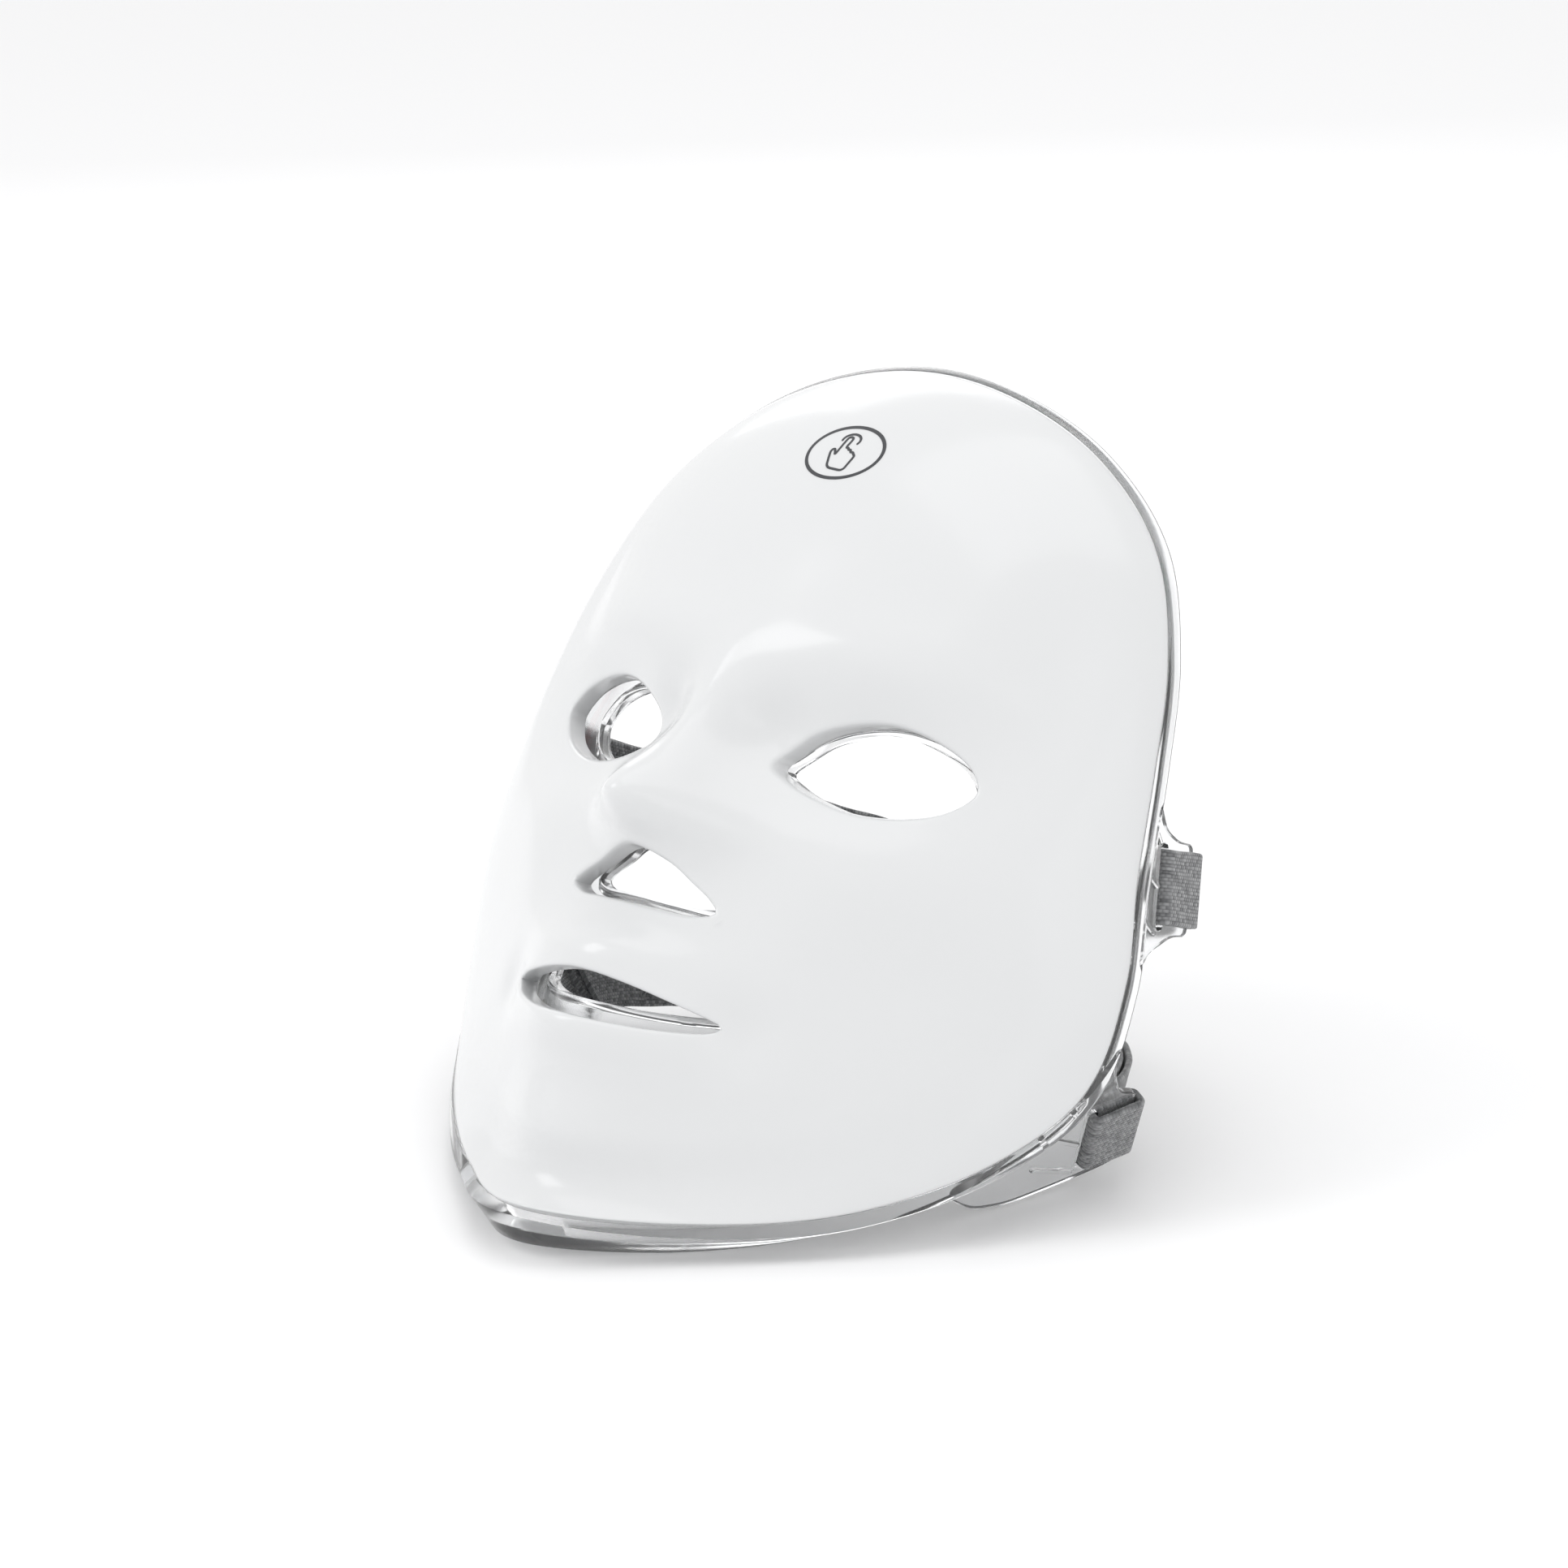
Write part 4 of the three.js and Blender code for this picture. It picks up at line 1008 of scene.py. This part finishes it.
strapEnds = {}
for level in ("upper", "lower"):
    ear = ears[level]
    mids, halves, faces = loopPath(ear)
    for sideName, turn in (("left", lambda v: v), ("right", flipped)):
        loop = webbing(f"{level}{sideName.capitalize()}Loop", turn(mids), turn(halves), turn(faces), True)
        settle(loop, "mask", "elastic", f"{level}_{sideName}_strap_loop")
    mids, halves, faces = strapPath(ear, straps["bandSteps"] // 2, 0, 0, 1)
    middle = len(mids) - 1
    whole = [a + flipped(a[:middle][::-1]) for a in (mids, halves, faces)]
    band = webbing(f"{level}Band", *whole, False)
    settle(band, f"{level}_strap", "elastic", f"{level}_strap_band")
    inside = 1 if np.dot(faces[0], earAxes(ear)[3]) > 0 else -1
    offset = -inside * (straps["thickness"] + ear["tabGap"])
    tab = strapPath(ear, 40, offset, 0.02, ear["tabReach"])
    for sideName, turn in (("left", lambda v: v), ("right", flipped)):
        rows = [turn(a) for a in tab]
        end = webbing(f"{level}{sideName.capitalize()}End", *rows, False)
        settle(end, f"{level}_{sideName}_end", "elastic", f"{level}_{sideName}_strap_end")
        strapEnds[(level, sideName)] = (rows, -inside)
print("straps made")


# Small parts that repeat, placed by geometry nodes.
# Copies of one small shape on every point, turned by the points' facing and heading.
def placedCopiesTree(name, rounded):
    tree = bpy.data.node_groups.new(name, "GeometryNodeTree")
    for label, kind, value in (("Geometry", "NodeSocketGeometry", None), ("Length", "NodeSocketFloat", 0.003),
                               ("Width", "NodeSocketFloat", 0.003), ("Height", "NodeSocketFloat", 0.001),
                               ("Turn Change", "NodeSocketFloat", 0.0), ("Material", "NodeSocketMaterial", None)):
        socket = tree.interface.new_socket(label, in_out="INPUT", socket_type=kind)
        if value is not None:
            socket.default_value = value
    tree.interface.new_socket("Geometry", in_out="OUTPUT", socket_type="NodeSocketGeometry")
    ins, outs = tree.nodes.new("NodeGroupInput"), tree.nodes.new("NodeGroupOutput")
    if rounded:
        shape = tree.nodes.new("GeometryNodeMeshUVSphere")
        shape.inputs["Segments"].default_value = 10
        shape.inputs["Rings"].default_value = 6
        shape.inputs["Radius"].default_value = 0.5
    else:
        shape = tree.nodes.new("GeometryNodeMeshCube")
    size = tree.nodes.new("ShaderNodeCombineXYZ")
    for label, axis in (("Length", "X"), ("Width", "Y"), ("Height", "Z")):
        tree.links.new(ins.outputs[label], size.inputs[axis])
    facing = tree.nodes.new("GeometryNodeInputNamedAttribute")
    heading = tree.nodes.new("GeometryNodeInputNamedAttribute")
    for node, label in ((facing, "facing"), (heading, "heading")):
        node.data_type = "FLOAT_VECTOR"
        node.inputs["Name"].default_value = label
    turn = tree.nodes.new("FunctionNodeAxesToRotation")
    turn.primary_axis, turn.secondary_axis = "Z", "X"
    tree.links.new(facing.outputs["Attribute"], turn.inputs["Primary Axis"])
    tree.links.new(heading.outputs["Attribute"], turn.inputs["Secondary Axis"])
    chance = tree.nodes.new("FunctionNodeRandomValue")
    chance.data_type = "FLOAT"
    chance.inputs["Min"].default_value = -1.0
    chance.inputs["Seed"].default_value = 7
    jitter = tree.nodes.new("ShaderNodeMath")
    jitter.operation = "MULTIPLY"
    tree.links.new(chance.outputs[1], jitter.inputs[0])
    tree.links.new(ins.outputs["Turn Change"], jitter.inputs[1])
    spin = tree.nodes.new("FunctionNodeAxisAngleToRotation")
    spin.inputs["Axis"].default_value = (0, 0, 1)
    tree.links.new(jitter.outputs[0], spin.inputs["Angle"])
    both = tree.nodes.new("FunctionNodeRotateRotation")
    both.rotation_space = "LOCAL"
    tree.links.new(turn.outputs[0], both.inputs[0])
    tree.links.new(spin.outputs[0], both.inputs[1])
    copies = tree.nodes.new("GeometryNodeInstanceOnPoints")
    tree.links.new(ins.outputs["Geometry"], copies.inputs["Points"])
    tree.links.new(shape.outputs["Mesh"], copies.inputs["Instance"])
    tree.links.new(both.outputs[0], copies.inputs["Rotation"])
    tree.links.new(size.outputs[0], copies.inputs["Scale"])
    real = tree.nodes.new("GeometryNodeRealizeInstances")
    paint = tree.nodes.new("GeometryNodeSetMaterial")
    tree.links.new(copies.outputs[0], real.inputs[0])
    tree.links.new(real.outputs[0], paint.inputs["Geometry"])
    tree.links.new(ins.outputs["Material"], paint.inputs["Material"])
    tree.links.new(paint.outputs[0], outs.inputs[0])
    return tree


# A round wire swept along every edge path.
def wireTree():
    tree = bpy.data.node_groups.new("sweptWires", "GeometryNodeTree")
    for label, kind, value in (("Geometry", "NodeSocketGeometry", None), ("Radius", "NodeSocketFloat", 0.0004),
                               ("Sides", "NodeSocketInt", 10), ("Material", "NodeSocketMaterial", None)):
        socket = tree.interface.new_socket(label, in_out="INPUT", socket_type=kind)
        if value is not None:
            socket.default_value = value
    tree.interface.new_socket("Geometry", in_out="OUTPUT", socket_type="NodeSocketGeometry")
    ins, outs = tree.nodes.new("NodeGroupInput"), tree.nodes.new("NodeGroupOutput")
    curve = tree.nodes.new("GeometryNodeMeshToCurve")
    circle = tree.nodes.new("GeometryNodeCurvePrimitiveCircle")
    sweep = tree.nodes.new("GeometryNodeCurveToMesh")
    sweep.inputs["Fill Caps"].default_value = True
    real = tree.nodes.new("GeometryNodeRealizeInstances")
    paint = tree.nodes.new("GeometryNodeSetMaterial")
    tree.links.new(ins.outputs["Geometry"], curve.inputs[0])
    tree.links.new(ins.outputs["Radius"], circle.inputs["Radius"])
    tree.links.new(ins.outputs["Sides"], circle.inputs["Resolution"])
    tree.links.new(curve.outputs[0], sweep.inputs["Curve"])
    tree.links.new(circle.outputs[0], sweep.inputs["Profile Curve"])
    tree.links.new(sweep.outputs[0], real.inputs[0])
    tree.links.new(real.outputs[0], paint.inputs["Geometry"])
    tree.links.new(ins.outputs["Material"], paint.inputs["Material"])
    tree.links.new(paint.outputs[0], outs.inputs[0])
    return tree


blockTree = placedCopiesTree("placedBlocks", False)
beadTree = placedCopiesTree("placedStitches", True)
strandTree = wireTree()


def setInputs(step, tree, values):
    for item in tree.interface.items_tree:
        if item.item_type == "SOCKET" and item.in_out == "INPUT" and item.name in values:
            step[item.identifier] = values[item.name]


def grownBy(tree, name, mesh, **values):
    piece = bpy.data.objects.new(name, mesh)
    bpy.context.scene.collection.objects.link(piece)
    step = piece.modifiers.new("make", "NODES")
    step.node_group = tree
    setInputs(step, tree, values)
    return applied(piece)


def pointMesh(name, places, facings, headings):
    mesh = bpy.data.meshes.new(name)
    mesh.from_pydata([tuple(p) for p in toRow(places)], [], [])
    still = toRow(np.zeros(3))
    for label, rows in (("facing", facings), ("heading", headings)):
        attribute = mesh.attributes.new(label, "FLOAT_VECTOR", "POINT")
        turned = (toRow(np.asarray(rows)) - still) * 1000
        attribute.data.foreach_set("vector", turned.astype(np.float32).ravel())
    return mesh


def mergedInto(name, parts):
    base = parts[0]
    with bpy.context.temp_override(active_object=base, selected_editable_objects=parts, selected_objects=parts):
        bpy.ops.object.join()
    base.name = name
    return base


# Sewn end of each strap: a boxed cross of short slanted stitches.
sewing = {"stitchLength": 1.9, "stitchWidth": 0.5, "stitchHeight": 0.4, "spacing": 2.25, "inset": 2.2, "boxLength": 13}


def stitchesOn(rows, side, name):
    mids, halves, facings = (np.asarray(r) for r in rows)
    run = np.concatenate([[0], np.cumsum(np.linalg.norm(np.diff(mids, axis=0), axis=1))])
    reach = straps["width"] / 2 - sewing["inset"]
    last = run[-1] - sewing["inset"]
    first = last - sewing["boxLength"]
    corners = [(first, -reach), (last, -reach), (last, reach), (first, reach), (first, -reach), (last, reach)]
    extra = [(last, -reach), (first, reach)]
    places, outs, heads = [], [], []

    def sample(u, v):
        at = [np.interp(u, run, mids[:, k]) for k in range(3)]
        half = unit(np.array([np.interp(u, run, halves[:, k]) for k in range(3)]))
        out = unit(np.array([np.interp(u, run, facings[:, k]) for k in range(3)]))
        return np.array(at) + half * v + out * side * (straps["thickness"] / 2 + 0.05), out * side

    for path in (corners, extra):
        for (u0, v0), (u1, v1) in zip(path, path[1:]):
            count = max(1, int(math.hypot(u1 - u0, v1 - v0) / sewing["spacing"]))
            for i in range(count):
                s = (i + 0.5) / count
                at, out = sample(u0 + (u1 - u0) * s, v0 + (v1 - v0) * s)
                ahead, _ = sample(u0 + (u1 - u0) * (s + 0.1), v0 + (v1 - v0) * (s + 0.1))
                places.append(at)
                outs.append(out)
                heads.append(unit(ahead - at))
    mesh = pointMesh(name, np.array(places), np.array(outs), np.array(heads))
    return grownBy(beadTree, name, mesh, **{
        "Length": sewing["stitchLength"] / 1000, "Width": sewing["stitchWidth"] / 1000,
        "Height": sewing["stitchHeight"] / 1000, "Turn Change": 0.09, "Material": finishes["thread"]})


for (level, sideName), (rows, inwards) in strapEnds.items():
    stitches = stitchesOn(rows, inwards, f"{level}{sideName.capitalize()}Stitches")
    settle(stitches, f"{level}_{sideName}_end", "elastic")
print("stitching made")


# Lights, boards and wires in the space between the shells.
lights = {
    "boards": {   # left, right, low, high, columns, rows
        "forehead_led_board": (-54, 54, 141, 168, 8, 2), "left_cheek_led_board": (33, 72, 66, 92, 3, 3),
        "right_cheek_led_board": (-72, -33, 66, 92, 3, 3), "left_jaw_led_board": (38, 66, 34, 58, 2, 2),
        "right_jaw_led_board": (-66, -38, 34, 58, 2, 2), "chin_led_board": (-24, 24, 14, 32, 4, 2),
    },
    "nearShare": 0.48, "farShare": 0.58,
    "chipSize": 3.5, "chipHeight": 1.0, "lensSize": 2.6, "lensHeight": 0.9,
    "cornerRound": 2.5,
}


# A board bent to the face: its outline has rounded corners and its faces follow the shells.
def bentSheet(name, left, right, low, high, nearShare, farShare, material, corner, bulge=0.0):
    across = max(8, int((right - left) / 1.5))
    up = max(8, int((high - low) / 1.5))
    u, v = np.meshgrid(np.linspace(-1, 1, across + 1), np.linspace(-1, 1, up + 1))
    halfX, halfZ = (right - left) / 2, (high - low) / 2
    px, pz = u * halfX, v * halfZ
    cx = np.maximum(np.abs(px) - (halfX - corner), 0)
    cz = np.maximum(np.abs(pz) - (halfZ - corner), 0)
    far = np.maximum(np.hypot(cx, cz), 1e-9)
    longest = np.maximum(cx, cz)
    px = np.sign(px) * (np.minimum(np.abs(px), halfX - corner) + cx * longest / far)
    pz = np.sign(pz) * (np.minimum(np.abs(pz), halfZ - corner) + cz * longest / far)
    x, z = (left + right) / 2 + px, (low + high) / 2 + pz
    rim = np.clip(1 - np.maximum(np.abs(u), np.abs(v)) ** 6, 0, 1) ** 0.5
    middle, half = (nearShare + farShare) / 2, (farShare - nearShare) / 2
    spread = half * ((1 - bulge) + bulge * rim)
    front = betweenPoint(x, z, (middle - spread)[..., None]).reshape(-1, 3)
    back = betweenPoint(x, z, (middle + spread)[..., None]).reshape(-1, 3)
    row, layer = across + 1, (across + 1) * (up + 1)
    faces = []
    for j in range(up):
        for i in range(across):
            a, b, c, d = j * row + i, j * row + i + 1, (j + 1) * row + i + 1, (j + 1) * row + i
            faces += [(a, b, c, d), (layer + a, layer + d, layer + c, layer + b)]
    edge = [(i, 0) for i in range(across)] + [(across, j) for j in range(up)]
    edge += [(i, up) for i in range(across, 0, -1)] + [(0, j) for j in range(up, 0, -1)]
    ids = [j * row + i for i, j in edge]
    for a, b in zip(ids, ids[1:] + ids[:1]):
        faces.append((a, a + layer, b + layer, b))
    return newPiece(name, np.concatenate([front, back]), faces, material, crease=40)


def lightBoard(node, left, right, low, high, columns, rows):
    name = "".join(w.capitalize() for w in node.split("_"))
    name = name[0].lower() + name[1:]
    board = bentSheet(name, left, right, low, high, lights["nearShare"], lights["farShare"],
                      "lightBoard", lights["cornerRound"])
    x = left + (np.arange(columns) + 0.5) * (right - left) / columns
    z = low + (np.arange(rows) + 0.5) * (high - low) / rows
    gx, gz = (g.ravel() for g in np.meshgrid(x, z))
    normal = -surfaceNormal(innerPoint, gx, gz)
    seat = betweenPoint(gx, gz, lights["farShare"])
    heading = unit(np.cross(np.array([0, 0, 1.0]), normal))
    chips = pointMesh("chips", seat + normal * lights["chipHeight"] / 2, normal, heading)
    lenses = pointMesh("lenses", seat + normal * lights["chipHeight"], normal, heading)
    size, high2 = lights["chipSize"] / 1000, lights["chipHeight"] / 1000
    cases = grownBy(blockTree, "cases", chips, Length=size, Width=size, Height=high2, Material=finishes["chipCase"])
    domes = grownBy(beadTree, "domes", lenses, Length=lights["lensSize"] / 1000, Width=lights["lensSize"] / 1000,
                    Height=lights["lensHeight"] / 1000, Material=finishes["chipLens"])
    whole = mergedInto(name, [board, cases, domes])
    settle(whole, "mask", "led_board", node)


for node, sizes in lights["boards"].items():
    lightBoard(node, *sizes)
print("light boards made")

looms = {   # path of x, z; strands; finish
    "left_side_loom": ([(58, 139), (72, 124), (74, 108), (66, 94.5)], 3, "redWire", "wire"),
    "right_side_loom": ([(-58, 139), (-72, 124), (-74, 108), (-66, 94.5)], 3, "redWire", "wire"),
    "left_jaw_loom": ([(52, 64), (52, 62), (52, 60.5)], 3, "redWire", "wire"),
    "right_jaw_loom": ([(-52, 64), (-52, 62), (-52, 60.5)], 3, "redWire", "wire"),
    "chin_loom": ([(26, 24), (34, 26), (44, 31)], 2, "blackWire", "dark_wire"),
    "charge_loom": ([(-37, 16.6), (-46, 24), (-52, 32.6)], 2, "blackWire", "dark_wire"),
    "control_loom": ([(0, 173), (0, 170.5), (0, 169)], 3, "redWire", "wire"),
    "battery_loom": ([(25, 184), (27, 184), (29, 184)], 2, "blackWire", "dark_wire"),
}
wireRadius = 0.42
for node, (path, strands, finish, slotName) in looms.items():
    stops = np.array(path, float)
    s = np.linspace(0, len(stops) - 1, 25)
    base = np.stack([np.interp(s, np.arange(len(stops)), stops[:, k]) for k in (0, 1)], axis=1)
    for _ in range(12):
        base[1:-1] = (base[:-2] + base[1:-1] * 2 + base[2:]) / 4
    along = unit(np.gradient(base, axis=0))
    points, edges = [], []
    for k in range(strands):
        shift = (k - (strands - 1) / 2) * wireRadius * 2.1
        x, z = base[:, 0] + along[:, 1] * shift, base[:, 1] - along[:, 0] * shift
        first = len(points)
        points += [tuple(p) for p in toRow(betweenPoint(x, z, 0.56))]
        edges += [(first + i, first + i + 1) for i in range(len(base) - 1)]
    name = node.split("_")[0] + "".join(w.capitalize() for w in node.split("_")[1:])
    mesh = bpy.data.meshes.new(name)
    mesh.from_pydata(points, edges, [])
    loom = grownBy(strandTree, name, mesh, Radius=wireRadius / 1000, Sides=10, Material=finishes[finish])
    loom.data.shade_smooth()
    settle(loom, "mask", slotName, node)

battery = bentSheet("batteryPouch", 29, 57, 172, 189, 0.4, 0.7, "foil", 3.0, bulge=0.55)
settle(battery, "mask", "foil", "battery_cell")
carriedOver = {
    "control_board": "controlBoard",
    "charge_board": "controlBoard",
    "touch_pad": "copper",
    "charge_socket": "steel",
}
for node, finish in carriedOver.items():
    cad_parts[node].data.materials.clear()
    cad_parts[node].data.materials.append(finishes[finish])
print("inside parts made")


# The printed touch mark.
mark = {
    "arcTurns": (-30, 195),
    "centre": (0.0, 184.4), "radius": 10.3, "squash": 0.69, "ringWidth": 0.8, "lineWidth": 0.58,
    "low": 0.02, "high": 0.09,
    "hand": [(-1.71, 3.5), (-1.5, 4.0), (-0.9, 4.2), (-0.3, 4.0), (-0.1, 3.5), (-0.39, 1.3), (0.4, 1.2), (0.75, 0.75),
             (1.3, 0.85), (1.75, 0.2), (2.4, 0.25), (2.95, -0.25), (3.5, -0.7), (2.92, -4.86), (-2.06, -4.51),
             (-3.9, -0.3), (-3.75, 0.4), (-3.2, 0.55), (-2.75, 0.1), (-2.05, -1.05)],
    "arcShift": (-0.4, 3.3), "arcRadius": 2.5,
}


def printedLine(path, width, closed):
    path = np.asarray(path, float)
    if closed:
        along = unit(np.roll(path, -1, 0) - np.roll(path, 1, 0))
        widths = np.full(len(path), width)
    else:
        along = unit(np.gradient(path, axis=0))
        run = np.concatenate([[0], np.cumsum(np.linalg.norm(np.diff(path, axis=0), axis=1))])
        near = np.minimum(run, run[-1] - run) + 0.03
        widths = width * np.sqrt(1 - (1 - np.clip(near / (width / 2), 0, 1)) ** 2)
    across = np.stack([along[:, 1], -along[:, 0]], axis=1)
    rings = []
    low, high = mark["low"], mark["high"]
    for side, lift in ((0.5, low), (-0.5, low), (-0.5, high), (0, high), (0.5, high)):
        p = path + across * (widths * side)[:, None]
        normal, _ = faceDirections(p[:, 0], p[:, 1])
        rings.append(facePoint(p[:, 0], p[:, 1]) + normal * lift)
    points = np.stack(rings, axis=1).reshape(-1, 3)
    n, m = len(path), 5
    faces = []
    for i in range(n if closed else n - 1):
        j = (i + 1) % n
        for k in range(m):
            l = (k + 1) % m
            faces.append((i * m + k, i * m + l, j * m + l, j * m + k))
    if not closed:
        faces += [tuple(reversed(range(m))), tuple((n - 1) * m + k for k in range(m))]
    a, b, c, d = (points[faces[0][k]] for k in range(4))
    if np.dot(np.cross(b - a, d - a), (a + b + c + d) / 4 - points[:m].mean(axis=0)) < 0:
        faces = [f[::-1] for f in faces]
    return points, faces


def printedPiece(name, path, width, closed, node):
    points, faces = printedLine(path, width, closed)
    piece = newPiece(name, points, faces, "blackPrint", smooth=False)
    settle(piece, "mask", "print", node)


def arcAt(centre, radius, start, stop, steps):
    turns = np.radians(np.linspace(start, stop, steps + 1))
    return np.stack([centre[0] + radius * np.cos(turns), centre[1] + radius * np.sin(turns) * mark["squash"]], axis=1)


def evenly(path, spacing, closed):
    loop = np.concatenate([path, path[:1]]) if closed else np.asarray(path)
    run = np.concatenate([[0], np.cumsum(np.linalg.norm(np.diff(loop, axis=0), axis=1))])
    even = np.linspace(0, run[-1], int(run[-1] / spacing) + 1)
    if closed:
        even = even[:-1]
    return np.stack([np.interp(even, run, loop[:, k]) for k in (0, 1)], axis=1)


markX, markZ = mark["centre"]
ringLine = arcAt(mark["centre"], mark["radius"], 0, 360, 160)[:-1]
printedPiece("touchRing", ringLine, mark["ringWidth"], True, "touch_ring")
hand = np.array([(markX + x, markZ + z) for x, z in mark["hand"]])
printedPiece("touchHand", evenly(softened(hand, 2, 0.14), 0.2, True), mark["lineWidth"], True, "touch_hand")
arcCentre = (markX + mark["arcShift"][0], markZ + mark["arcShift"][1])
printedPiece("touchArc", arcAt(arcCentre, mark["arcRadius"], *mark["arcTurns"], 60), mark["lineWidth"], False, "touch_arc")
print("touch mark printed")

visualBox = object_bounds()
sizes = {"cad": [[float(v) for v in c] for c in cadBox],
         "visual": [[float(v) for v in c] for c in visualBox]}
